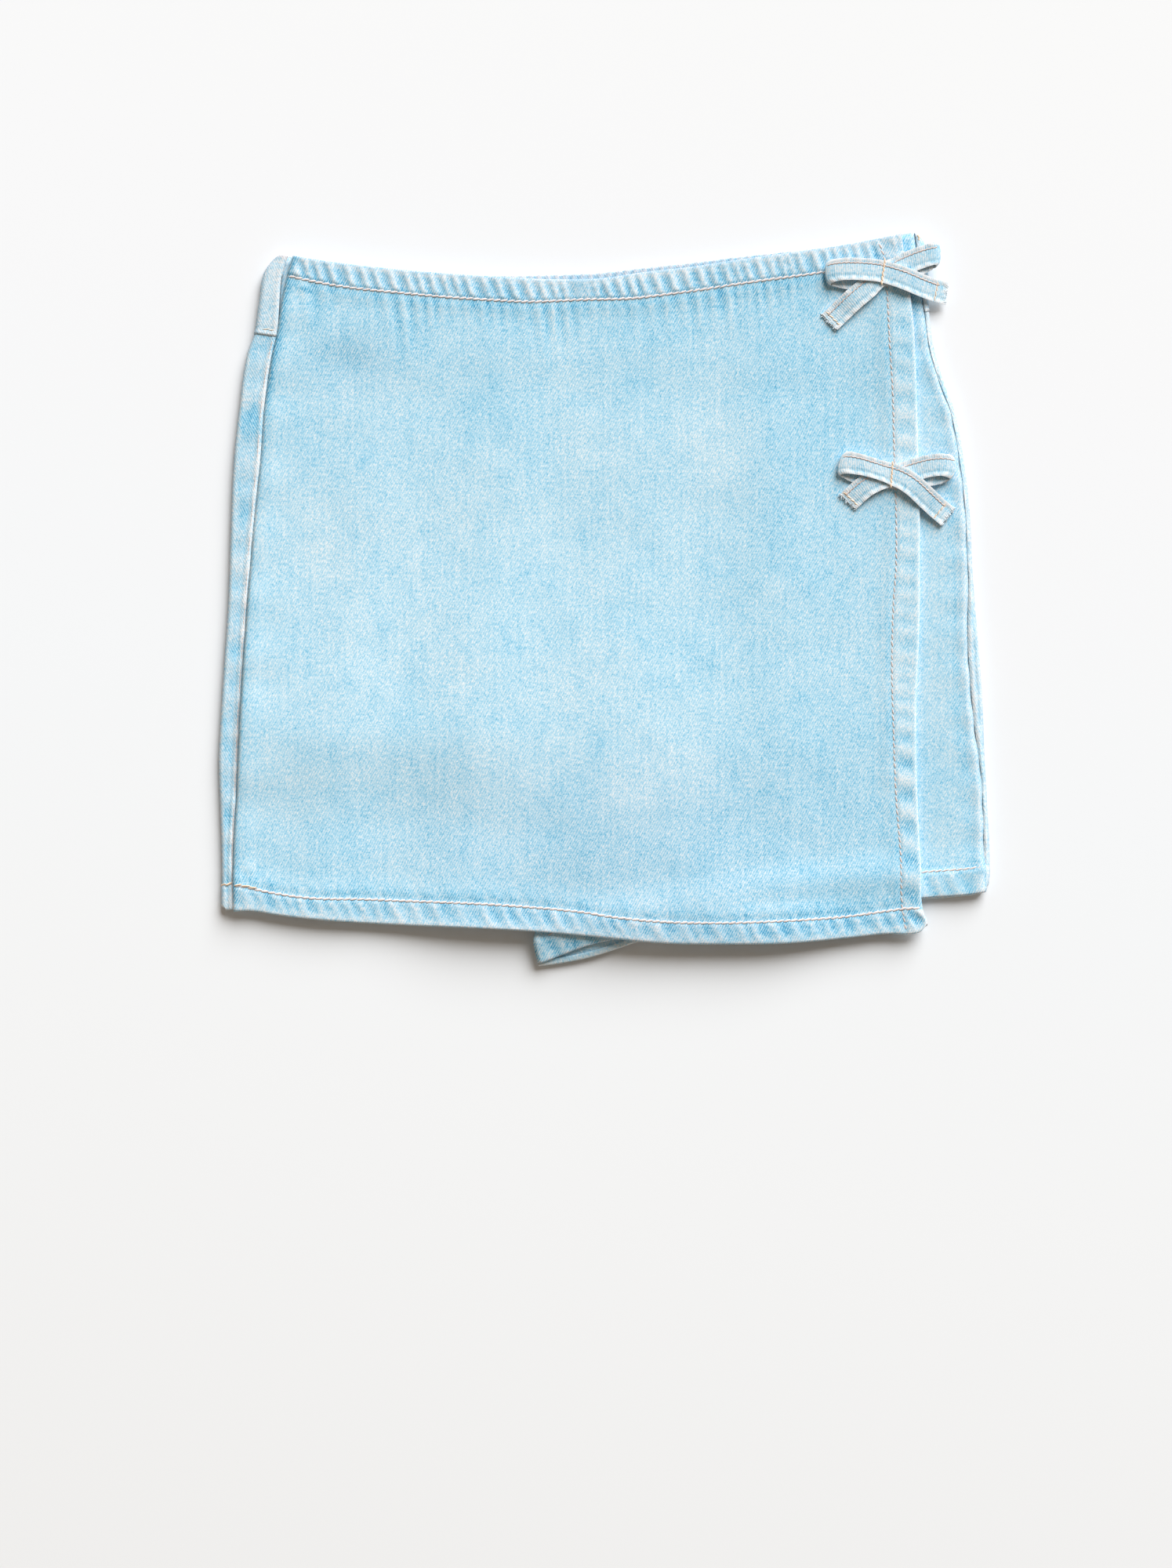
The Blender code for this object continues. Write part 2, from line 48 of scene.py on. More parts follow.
# Tables in millimetres, x to the right and y towards the waist, each read as a smooth curve
edges = {
    "leftSeam": (
        (-138.3, 152.4), (-140.7, 144.4), (-143.9, 128.3), (-145.4, 118), (-148, 105.9), (-151.2, 83.5),
        (-152.8, 61.1), (-155.2, 38.7), (-158.2, 3.3), (-161.4, -46.4), (-163.2, -84.2), (-164.9, -115.3),
        (-164.6, -139.5)),
    "leftFold": (
        (-146.4, 153.7), (-148.6, 150), (-151.8, 144.4), (-153.6, 133.7), (-156.1, 117.6), (-158.9, 110),
        (-162.9, 83.5), (-165.2, 61.1), (-166.7, 27), (-167.7, -2.6), (-169.4, -27.8), (-171, -52.7),
        (-171.9, -71.6), (-171.4, -90.1), (-170.6, -114.3), (-170.5, -139.5)),
    "rightSeam": (
        (138.4, 163.6), (139.3, 156.6), (142.6, 130), (146.5, 109.7), (150.2, 95.9), (155, 83.8),
        (159, 62.8), (161.9, 38.8), (162.6, 12), (162.2, -20), (163.8, -43.6), (165.8, -62.1),
        (168, -77.5), (169.1, -96.8), (169.4, -131)),
    "rightFold": (
        (140.4, 163.6), (143.2, 158), (145.1, 131.4), (147.4, 112.2), (151.8, 96.8), (156.7, 83.8),
        (160.7, 62.8), (163.5, 38.8), (164.9, 10), (167.1, -17.3), (169.1, -43.6), (170.1, -69.8),
        (171.2, -89.8), (171.7, -128.3), (170.9, -131)),
    "freeEdge": (
        (132.5, 162.1), (133.7, 153.1), (136.5, 134.6), (138.1, 120), (139.3, 90), (140.1, 63.5),
        (140.7, 41.1), (140.4, -17.3), (139.2, -43.6), (139.2, -69.8), (140, -96.4), (141.2, -120),
        (141.3, -134), (142.2, -139.5), (143.6, -144), (143.4, -147)),
    "placketStitch": (
        (121.5, 162), (123, 156.3), (125, 150.5), (126, 137), (127.2, 113.6), (128.5, 93.6),
        (129.3, 63.5), (129.9, 47.8), (130.2, 15.9), (128.9, -4), (128.3, -30.3), (128.9, -56.9),
        (130.2, -89.8), (132, -112.9), (132.7, -137), (134.5, -148.5)),
    "rightInner": (
        (0.2, 150), (0.2, 40), (0.2, -76), (0.2, -104), (-6, -113), (-18, -130), (-31, -150),
        (-29, -163.9)),
    "leftInner": (
        (-0.2, 150), (-0.2, 40), (-0.2, -76), (-0.2, -104), (5, -113), (14, -127), (29, -149)),
}
# Lines across the garment, in the same way
crossings = {
    "waistEdge": (
        (-138.3, 152.4), (-131.1, 151.2), (-114.8, 148.9), (-92.8, 146.5), (-70.4, 144.6), (-45.5, 143),
        (-22.4, 141.9), (-2.1, 142.2), (18.2, 145.1), (38.5, 147.4), (62.7, 151), (86.8, 154.3),
        (111, 157.9), (132.5, 162.1)),
    "waistStitch": (
        (-140.7, 143.4), (-125.4, 140.1), (-112.8, 138.1), (-92.8, 136), (-70.4, 133.9), (-48, 132.5),
        (-34, 131.8), (-10.5, 132.7), (12.6, 133.3), (24.2, 134.6), (41.3, 136.9), (68.6, 141),
        (83.7, 143), (97, 144.9), (125, 149.6), (134, 151.2)),
    "hemStitch": (
        (-170.1, -127.8), (-159.6, -128.4), (-153.3, -130), (-132, -133.4), (-107.1, -134), (-81.9, -135),
        (-57, -135.9), (-31.9, -137.5), (-7, -140), (1.8, -141.5), (28, -144), (54.6, -144.4),
        (80.9, -143.5), (107.1, -141.8), (127, -139.1), (134.8, -138.1), (142, -138.1)),
    "hemEdge": (
        (-164.6, -139.5), (-157, -139.3), (-144.6, -141.2), (-125.7, -143.3), (-94.5, -145.3),
        (-57, -146.8), (-31.9, -148.2), (-7, -150.3), (28, -153.6), (54.6, -154), (80.9, -153.6),
        (107.1, -151.4), (127.1, -149.4), (137, -149.5), (141, -148.4), (143.5, -145.6)),
    "bandTop": (
        (-146.4, 153.7), (-138, 152), (-131, 150.2), (-114.8, 147.9), (-92.8, 145.5), (-70.4, 143.8),
        (-45.5, 143.7), (-22.4, 144.1), (-2.1, 144.9), (18.2, 147.3), (41.7, 149.8), (62.7, 152.4),
        (84.4, 154.7), (111, 157.4), (125, 160), (135.5, 162.9), (140.4, 163.6)),
    "bandSeam": (
        (-157, 117.9), (-120, 112.8), (-80, 109.4), (-40, 108), (0, 109.6), (40, 113.9), (80, 119),
        (120, 124.4), (146, 128)),
    "leftLegHem": (
        (-170.5, -139.5), (-157, -137.5), (-125, -139.6), (-90, -142), (-50, -144.2), (-10, -146.8),
        (29, -149)),
    "rightBackHem": (
        (-29, -163.9), (-21.4, -163), (-6.3, -160.1), (5.6, -156.3), (16.1, -152.8), (80.5, -143),
        (142.5, -134.3), (163.8, -132.5), (170.9, -131)),
    "rightFrontHem": (
        (-27, -162.3), (-17.5, -158.5), (-6.3, -154.5), (5, -151.9), (30, -149.3), (80.5, -141.6),
        (142.5, -133.6), (163.8, -131.9), (169.4, -131)),
    "shortsWaist": (
        (-141, 151.6), (-131.1, 150), (-92.8, 145.3), (-45.5, 141.8), (-2.1, 141), (38.5, 146.2),
        (86.8, 153.1), (120, 158.6), (132, 161.4), (139, 162.6)),
}
cloth = {
    "wall": 0.65,
    "lift": 1,
    "turnedLift": 1.6,
    "wrapLift": 1.9,
    "layerGap": 0.5,
    "waistGap": 0.9,
    "air": 0.5,
    "hemDepth": 11,
    "hemRamp": 15,
    "leftFold": 4.4,
    "rightFold": 3.8,
    "sideRise": 42,
    "liftStart": -58,
    "lifted": -103,
    "climbWidth": 58,
    "wrapSpread": 12,
}


def denseCurve(points, key):
    # A smooth curve through the points, read at one of their two coordinates
    rows = np.array(sorted(points, key=lambda row: row[key]), float)
    at, to = rows[:, key], rows[:, 1 - key]
    span, t = np.diff(at), np.linspace(0, 1, 25)[:, None]
    slopes = np.diff(to) / span
    bends = np.concatenate([slopes[:1], 0.5 * (slopes[:-1] + slopes[1:]), slopes[-1:]])
    places = at[:-1] + span * t
    values = ((1 - t) ** 2 * (1 + 2 * t) * to[:-1] + t * t * (3 - 2 * t) * to[1:]
              + span * t * (1 - t) * ((1 - t) * bends[:-1] - t * bends[1:]))
    places, values = places.T.ravel(), values.T.ravel()
    return lambda where: np.interp(where, places, values)


xOf = {name: denseCurve(points, 1) for name, points in edges.items()}
yOf = {name: denseCurve(points, 0) for name, points in crossings.items()}


def ease(low, high, value):
    share = np.clip((value - low) / (high - low), 0, 1)
    return share * share * (3 - 2 * share)


def fall(low, high, value):
    return 1 - ease(low, high, value)


def bump(value, width):
    return np.exp(-(value / width) ** 2)


def cosWave(turns):
    return np.cos(2 * math.pi * turns)


def high(wave, power=1):
    # 1 on the crests of a wave and 0 in its troughs; the negative wave gives the troughs
    return (0.5 + 0.5 * wave) ** power


def rough(x, y, size, seed=0):
    # Smooth unevenness between about -1 and 1, with lumps of a size
    across, up = np.broadcast_arrays(np.asarray(x, float) / size, np.asarray(y, float) / size)
    flat = [noise.noise((a, b, seed)) for a, b in zip(across.ravel(), up.ravel())]
    return np.array(flat).reshape(across.shape)


def warped(value, size, amount, seed):
    return value + amount * rough(value, np.zeros_like(np.asarray(value, float)), size, seed)


def looks(worn, deep, blush, mostWorn=1):
    # What a cloth's finish reads: worn ridges, deep dye mixed with painted shade, and a pale blush that also
    # paints shade in places
    return {"worn": np.clip(worn, 0, mostWorn), "deep": np.clip(deep, 0, 1), "blush": blush}


# How the layers lie on each other, from the table up
def turned(hem, x, y):
    share = fall(cloth["hemDepth"], cloth["hemDepth"] + cloth["hemRamp"], y - yOf[hem](x))
    return cloth["lift"] + (cloth["turnedLift"] - cloth["lift"]) * share


def layerGap(y):
    # The gathers of the waistband take more room between back and front
    return cloth["layerGap"] + (cloth["waistGap"] - cloth["layerGap"]) * ease(88, 112, y)


def sideRise(x, y):
    near = fall(0, cloth["sideRise"], xOf["rightSeam"](y) - x)
    return near * (cloth["rightFold"] - 2 * cloth["lift"] - layerGap(y))


def leftFrontUnder(x, y):
    return turned("leftLegHem", x, y) + layerGap(y)


def leftFrontTop(x, y):
    return leftFrontUnder(x, y) + turned("leftLegHem", x, y)


def climb(x, y, spreadOut=0):
    edge = xOf["leftInner"](y) + 9 + spreadOut
    across = fall(edge, edge + cloth["climbWidth"] + spreadOut, x)
    down = fall(cloth["lifted"] + 0.25 * spreadOut, cloth["liftStart"] + 8 * spreadOut, y)
    droop = 1 - 0.6 * ease(2, 18, yOf["leftLegHem"](x) - y)
    return across * down * droop


def rightBackUnder(x, y):
    return climb(x, y) * (leftFrontTop(x, y) + cloth["air"])


def rightFrontUnder(x, y):
    rest = turned("rightBackHem", x, y) + layerGap(y)
    return rightBackUnder(x, y) + rest + sideRise(x, y)


def rightFrontTop(x, y):
    return rightFrontUnder(x, y) + turned("rightFrontHem", x, y)


# Soft swells of the wrap panel: x and y at the upper end, x and y at the lower end, half width, height
swells = (
    (-96, 120, -128, -150, 17, 0.7),
    (-36, 128, -66, -150, 20, 0.9),
    (20, 118, 4, -150, 22, 0.6),
    (74, 130, 84, -150, 19, 0.8),
)


def swell(x, y):
    height = 0
    for topX, topY, lowX, lowY, halfWidth, rise in swells:
        share = (topY - y) / (topY - lowY)
        middle = topX + (lowX - topX) * share
        height = height + rise * ease(0, 0.35, share) * bump(x - middle, halfWidth)
    return height


def wrapUnder(x, y):
    inner = xOf["rightInner"](y)
    share = ease(inner - 80, inner - 10, x)
    left, right = leftFrontTop(x, y), rightFrontTop(x, y)
    bridge = (climb(x, y, cloth["wrapSpread"]) - climb(x, y)) * (left + cloth["air"])
    # The wrap spans the step where the turned hems below it begin
    fromHem = y - yOf["leftLegHem"](x)
    wide = ease(cloth["hemDepth"], cloth["hemDepth"] + 60, fromHem)
    narrow = ease(cloth["hemDepth"], cloth["hemDepth"] + cloth["hemRamp"], fromHem)
    span = 2 * (cloth["turnedLift"] - cloth["lift"]) * (narrow - wide)
    return left + (right - left) * share + cloth["air"] + swell(x, y) + bridge + span


# Grids whose lines follow the edges and the stitching
def between(first, last, shares, offset=0, startOffset=0):
    # Lines from one curve to another, whose ends stop short by an offset
    return [(first, last, share, offset * share + startOffset * (1 - share), 0) for share in shares]


def foldOver(edge, inward, radius, tuck, steps=6):
    # Lines round a folded edge and back under it; inward is the way into the cloth, 1 or -1
    turns = [math.pi / 2 - math.pi * step / steps for step in range(1, steps + 1)]
    places = [(radius * (1 - math.cos(turn)), radius * (1 - math.sin(turn))) for turn in turns]
    places += [(radius + tuck * share, 2 * radius) for share in (0.5, 1)]
    return [(edge, edge, 0, inward * place, drop) for place, drop in places]


def crossGrid(columns, rows):
    # Where every column line meets every row line, and how far the point is turned under
    def solve(lines, curves, where):
        first, last = np.zeros_like(where), np.zeros_like(where)
        for name in {line[0] for line in lines} | {line[1] for line in lines}:
            values = curves[name](where)
            first = np.where([line[0] == name for line in lines], values, first)
            last = np.where([line[1] == name for line in lines], values, last)
        share, offset = (np.array([line[index] for line in lines]) for index in (2, 3))
        return first + (last - first) * share + offset

    y = np.zeros((len(rows), len(columns)))
    for _ in range(rounds):
        x = solve(columns, xOf, y)
        y = solve(rows, yOf, x.T).T
    across, down = (np.array([line[4] for line in lines]) for lines in (columns, rows))
    return x, y, np.maximum(across[None, :], down[:, None])


def shares(count):
    return list(np.linspace(0, 1, count + 1))


def spans(*parts):
    # Places through parts that join: first, last and count of each
    return np.concatenate([np.linspace(*part)[min(index, 1):] for index, part in enumerate(parts)])


def placed(x, y, z):
    # Points of the tables' millimetres, about the middle of the garment
    return np.stack(np.broadcast_arrays(x - centreShift[0], y - centreShift[1], z), axis=-1)


def objectOf(name, mesh, finish, slotName=None):
    # An object from a mesh under construction; one with a slot belongs to the garment
    data = bpy.data.meshes.new(name)
    mesh.to_mesh(data)
    mesh.free()
    data.materials.append(finish)
    piece = bpy.data.objects.new(name, data)
    bpy.context.collection.objects.link(piece)
    if slotName:
        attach(piece, "root")
    return piece


def clothPiece(name, node, slotName, finish, x, y, z, values, faceUp=True, wall=cloth["wall"]):
    # A sheet laid on arrays of points, with its wall
    rowsCount, columnsCount = x.shape
    mesh = bmesh.new()
    bmesh.ops.create_grid(mesh, x_segments=columnsCount - 1, y_segments=rowsCount - 1, size=0.5)
    piece = objectOf(name, mesh, finish, slotName)
    data = piece.data
    flat = np.zeros(len(data.vertices) * 3)
    data.vertices.foreach_get("co", flat)
    flat = flat.reshape(-1, 3)
    column = np.rint((flat[:, 0] + 0.5) * (columnsCount - 1)).astype(int)
    row = np.rint((flat[:, 1] + 0.5) * (rowsCount - 1)).astype(int)
    data.vertices.foreach_set("co", (placed(x, y, z)[row, column] * mm).ravel())
    for key, array in values.items():
        layer = data.attributes.new(key, "FLOAT", "POINT")
        layer.data.foreach_set("value", np.broadcast_to(array, x.shape)[row, column].astype(float).ravel())
    data.update()
    if (sum(face.normal.z * face.area for face in data.polygons) > 0) != faceUp:
        data.flip_normals()
    data.shade_smooth()
    shell = piece.modifiers.new("wall", "SOLIDIFY")
    shell.thickness = wall * mm
    shell.offset = -1
    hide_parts(node)
    return piece


stitchSettings = {
    "pitch": 3.06,
    "wide": 0.95,
    "tall": 0.5,
    "gap": -0.5,
    "turn": 13,
}


def stitchRow(name, x, y, z, finish, slotName, pitch=stitchSettings["pitch"], wide=stitchSettings["wide"],
              turn=stitchSettings["turn"], gap=stitchSettings["gap"]):
    # Stitches along points, each a slim body of thread that dips into the cloth at both ends
    path = placed(x, y, z)
    chance = random.Random(len(name) * 7 + len(path))
    run = np.concatenate([[0], np.cumsum(np.linalg.norm(np.diff(path, axis=0), axis=1))])
    count = max(1, round(run[-1] / pitch))
    tall = stitchSettings["tall"] * wide / stitchSettings["wide"]
    inset = 0.5 * gap / pitch
    mesh = bmesh.new()
    for index in range(count):
        ends = [run[-1] * (place + chance.uniform(-0.03, 0.03)) / count
                for place in (index + inset, index + 1 - inset)]
        first, last = (Vector([np.interp(end, run, path[:, axis]) for axis in range(3)]) for end in ends)
        way = last - first
        size = (wide * chance.uniform(0.9, 1.08) / 2, tall / 2, way.length / 2)
        matrix = (Matrix.Scale(mm, 4) @ Matrix.Translation((first + last) / 2)
                  @ Matrix.Rotation(math.radians(turn) + chance.uniform(-0.05, 0.05), 4, "Z")
                  @ way.to_track_quat("Z", "Y").to_matrix().to_4x4() @ Matrix.Diagonal((*size, 1)))
        bmesh.ops.create_uvsphere(mesh, u_segments=8, v_segments=5, radius=1, matrix=matrix)
    row = objectOf(name, mesh, finish, slotName)
    row.data.shade_smooth()
    return row


# Materials
class Wire:
    # One socket of a finish, with the sums that its pattern uses
    def __init__(self, finish, socket):
        self.finish = finish
        self.socket = socket

    def sum(self, operation, other=None, swapped=False):
        first, second = (other, self) if swapped else (self, other)
        sockets = {0: first} if other is None else {0: first, 1: second}
        return self.finish.node("ShaderNodeMath", {"operation": operation}, sockets)

    def __add__(self, other):
        return self.sum("ADD", other)

    def __radd__(self, other):
        return self.sum("ADD", other, True)

    def __sub__(self, other):
        return self.sum("SUBTRACT", other)

    def __rsub__(self, other):
        return self.sum("SUBTRACT", other, True)

    def __mul__(self, other):
        return self.sum("MULTIPLY", other)

    def __rmul__(self, other):
        return self.sum("MULTIPLY", other, True)

    def sine(self):
        return self.sum("SINE")

    def within(self, low, high):
        sockets = {"Value": self, "From Min": low, "From Max": high}
        return self.finish.node("ShaderNodeMapRange", {"interpolation_type": "SMOOTHSTEP"}, sockets)


class Finish:
    def __init__(self, name):
        self.material = bpy.data.materials.new(name)
        self.material.use_nodes = True
        self.nodes = self.material.node_tree.nodes
        self.links = self.material.node_tree.links
        self.shader = self.nodes["Principled BSDF"]

    def node(self, kind, settings=None, sockets=None, output=0):
        made = self.nodes.new(kind)
        for key, value in (settings or {}).items():
            if key == "stops":
                self.setStops(made.color_ramp.elements, value)
            else:
                setattr(made, key, value)
        for key, value in (sockets or {}).items():
            self.join(value, made.inputs[key])
        return Wire(self, made.outputs[output])

    def setStops(self, points, stops):
        while len(points) < len(stops):
            points.new(0.5)
        for point, (place, colour) in zip(points, stops):
            point.position, point.color = place, colour

    def join(self, value, socket):
        if isinstance(value, Wire):
            self.links.new(value.socket, socket)
        else:
            socket.default_value = value

    def mix(self, share, first, second, blend="MIX"):
        settings = {"data_type": "RGBA", "blend_type": blend}
        return self.node("ShaderNodeMix", settings, {0: share, 6: first, 7: second}, output=2)

    def ramp(self, share, stops):
        return self.node("ShaderNodeValToRGB", {"stops": stops}, {"Fac": share})

    def attribute(self, name):
        return self.node("ShaderNodeAttribute", {"attribute_name": name}, output="Fac")

    def place(self):
        # x, y and z of the object
        where = self.node("ShaderNodeTexCoord", output="Object")
        apart = self.node("ShaderNodeSeparateXYZ", sockets={0: where})
        return [Wire(self, socket) for socket in apart.socket.node.outputs]

    def vector(self, x, y, z=0):
        return self.node("ShaderNodeCombineXYZ", sockets={0: x, 1: y, 2: z})

    def lumps(self, where, detail=2, roughness=0.5):
        sockets = {"Vector": where, "Scale": 1, "Detail": detail, "Roughness": roughness}
        return self.node("ShaderNodeTexNoise", {"noise_dimensions": "3D"}, sockets)

    def finishWith(self, colour, roughness, height=None, distance=0.0002, strength=1):
        self.join(colour, self.shader.inputs["Base Color"])
        self.join(roughness, self.shader.inputs["Roughness"])
        if height is not None:
            sockets = {"Height": height, "Distance": distance, "Strength": strength}
            self.join(self.node("ShaderNodeBump", sockets=sockets), self.shader.inputs["Normal"])
        return self.material


def rgb(red, green, blue):
    # A colour as the eye reads it, 0 to 255, made linear
    parts = [part / 255 for part in (red, green, blue)]
    return (*[part / 12.92 if part <= 0.04045 else ((part + 0.055) / 1.055) ** 2.4 for part in parts], 1)


denimSettings = {
    "twillPitch": 1,
    "twillAngle": 62,
    "roughness": 0.9,
    "bumpDistance": 0.00016,
    "bumpStrength": 0.4,
    "patch": 0.14,
    "middle": 0.612,
    # Scales across and up, shift, detail, roughness and weight
    "layers": {
        "cloud": (0.03, 0.02, 7, 4, 0.6, 0.4),
        "mottle": (0.17, 0.12, 11, 3, 0.6, 0.46),
        "grain": (0.95, 0.75, 23, 2, 0.65, 1.2),
        "slubs": (0.6, 0.02, 15, 2, 0.5, 0.26),
        "speck": (1.7, 1.4, 19, 2, 0.7, 0.65),
    },
    # From the deepest dye to bare worn cotton
    "fade": (
        (0, rgb(74, 160, 204)), (0.22, rgb(116, 192, 225)), (0.42, rgb(158, 213, 239)),
        (0.62, rgb(188, 226, 244)), (0.8, rgb(216, 238, 248)), (1, rgb(244, 249, 251))),
    # A pale pinkish tint multiplied in; in places it also stands in for painted shade
    "blush": rgb(238, 227, 228),
}


def denim(name, across=None, seed=0, angle=denimSettings["twillAngle"], contrast=1, level=0):
    # Washed twill: slanting ribs in broken floats, a cloudy wash, slubs, worn ridges, and deep dye mixed with
    # painted shade
    s = denimSettings
    finish = Finish(name)
    if across:
        x, y = (finish.attribute(key) for key in across)
    else:
        x, y, _ = finish.place()
        x, y = x * 1000, y * 1000
    slope = math.radians(angle)
    drift = finish.lumps(finish.vector(x * 0.16, y * 0.16, seed), 2) - 0.5
    rib = x * math.sin(slope) - y * math.cos(slope) + drift * 0.8
    along = x * math.cos(slope) + y * math.sin(slope)
    ribs = (rib * (2 * math.pi / s["twillPitch"])).sine() * 0.5 + 0.5
    floats = finish.lumps(finish.vector(rib, along * 0.55, seed + 3), 2, 0.6)
    yarn = ribs * (floats.within(0.25, 0.7) * 0.7 + 0.3)
    worn, deep, blush = (finish.attribute(key) for key in ("worn", "deep", "blush"))
    fade = (yarn - 0.33) * (deep * 0.45 + 0.3 * contrast)
    layers = {}
    for key, (wide, tall, shift, detail, roughness, weight) in s["layers"].items():
        layers[key] = finish.lumps(finish.vector(x * wide, y * tall, seed + shift), detail, roughness)
        fade = fade + (layers[key] - 0.5) * weight
    speck = layers["speck"]
    patch = layers["mottle"].within(0.53, 0.7) * speck.within(0.35, 0.65)
    fade = fade - patch * s["patch"] + (s["middle"] + level)
    fade = fade + worn * (0.2 + speck * 0.22) - deep * (0.24 + speck * 0.3)
    colour = finish.ramp(fade, s["fade"])
    colour = finish.mix(blush, colour, finish.mix(1, colour, s["blush"], "MULTIPLY"))
    return finish.finishWith(colour, s["roughness"], yarn + speck * 0.6, s["bumpDistance"], s["bumpStrength"])


def thread(name, colour, shade):
    # Spun thread: fine turns along each stitch
    finish = Finish(name)
    x, y, z = finish.place()
    twist = finish.lumps(finish.vector(x * 1600, y * 1600, z * 1600), 2)
    tone = finish.mix(twist.within(0.4, 0.75), colour, shade)
    return finish.finishWith(tone, 0.8, twist, 0.0001, 0.3)


denimFront = denim("denim_front")
denimLeg = denim("denim_leg", seed=31)
denimBack = denim("denim_back", seed=57, angle=118, contrast=0.25, level=0.035)
denimStrap = denim("denim_strap", across=("alongStrap", "acrossStrap"), seed=83, angle=88, contrast=0.8,
                   level=0.1)
creamThread = thread("thread_cream", rgb(238, 228, 225), rgb(208, 192, 188))
pinkThread = thread("thread_pink", rgb(228, 212, 206), rgb(202, 180, 172))
peachThread = thread("thread_peach", rgb(252, 226, 198), rgb(236, 198, 164))
frayThread = thread("thread_fray", rgb(240, 246, 250), rgb(186, 216, 232))
tanThread = thread("thread_tan", rgb(236, 220, 200), rgb(206, 184, 160))
print("materials ready")

# Wrap panel
wrapSettings = {
    "lift": 1.4,
    "foldRadius": 0.9,
    "tuck": 2,
    "puckerSlant": 0.33,
    "puckerHeight": 1,
    "groove": 0.32,
    "creaseHeight": 0.3,
    "ropeHeight": 0.36,
    "hollowDepth": 0.24,
}
# Crests across the casing: x
caseCrests = (
    -137, -131.5, -126.8, -121, -112.8, -106.2, -100.8, -93.8, -86.5, -81.5, -75.8, -70, -65, -59.8, -52,
    -46.2, -40, -33, -26.8, -21.2, -17.2, -10.8, -6.8, -3.2, 2, 7.8, 12.8, 17.5, 24, 30.8, 37.5, 43.8,
    49.2, 55.2, 59.8, 64, 69.8, 75, 79.8, 83.2, 87.5, 94.8, 99.8, 104.2, 108.8, 113.2, 117.8, 122.8,
    129.8, 134)
# Below the waist stitching: x, strength, length
waistCrests = (
    (-140, 0, 4), (-134.8, 0.9, 14), (-124.5, 0.9, 9), (-117.2, 0.3, 6), (-108.8, 0.25, 8),
    (-105, 0.35, 7), (-97.5, 0.65, 16), (-89.8, 1, 18), (-83.2, 0.9, 10), (-77.8, 0.9, 11),
    (-72.5, 0.8, 8), (-67.2, 0.65, 6), (-61.2, 0.5, 9), (-54.2, 0.7, 10), (-48.8, 0.55, 12),
    (-43.8, 0.45, 11), (-36.8, 0.4, 10), (-29.2, 0.9, 17), (-23.2, 1, 15), (-17, 0.65, 18),
    (-11, 0.4, 12), (-5.2, 0.75, 6), (1, 0.6, 6), (6.2, 0.35, 8), (13.5, 0.5, 16), (21, 0.4, 9),
    (28, 0.75, 16), (35, 0.6, 9), (41.8, 0.8, 17), (48.2, 0.75, 9), (55.5, 1.2, 15), (60.5, 0.5, 5),
    (64.5, 0.9, 8), (68.2, 1, 13), (73.5, 0.9, 12), (79.2, 0.5, 9), (83.5, 0.7, 8), (88.2, 0.65, 8),
    (91.5, 0.7, 15), (95.2, 0.6, 9), (100, 0.9, 7), (104, 0.45, 6), (111.5, 0.4, 6), (120, 0.2, 6))
# Along the hem, x, and down the free edge: y, strength
hemCrests = (
    -166, -159.5, -152, -144.2, -139.2, -134.2, -125.8, -119.5, -113, -107.2, -100.5, -92.2, -83.5, -74.2,
    -63.5, -52.2, -43.5, -36, -28.8, -20.2, -13.2, -5, 1.5, 7.2, 13.5, 23.5, 37.2, 42.5, 50.2, 61.2, 67,
    76.5, 85.5, 92.8, 99.5, 105, 113.2, 121.8, 129.5, 136, 142)
freeCrests = (
    (-147, 0.6), (-138, 1), (-125, 1), (-108.8, 1), (-95, 1.1), (-80.5, 1.2), (-66.8, 0.9), (-57.5, 0.55),
    (-48.6, 0.55), (-40.5, 0.5), (-34.2, 0.35), (-26.4, 0.5), (-14.8, 0.5), (-6.5, 0.5), (1, 0.4),
    (10, 0.6), (21.4, 0.5), (29, 0.3), (37, 0.5), (50, 0.4), (61.5, 0.5), (69.5, 0.7), (82, 0.5),
    (95, 0.5), (105.3, 0.45), (115, 0.5), (127, 0.4), (140, 0.3), (152, 0.4), (160, 0.3))


def crestWave(crests, where):
    # 1 on each crest and -1 half way to the next
    return cosWave(np.interp(where, crests, np.arange(len(crests))))


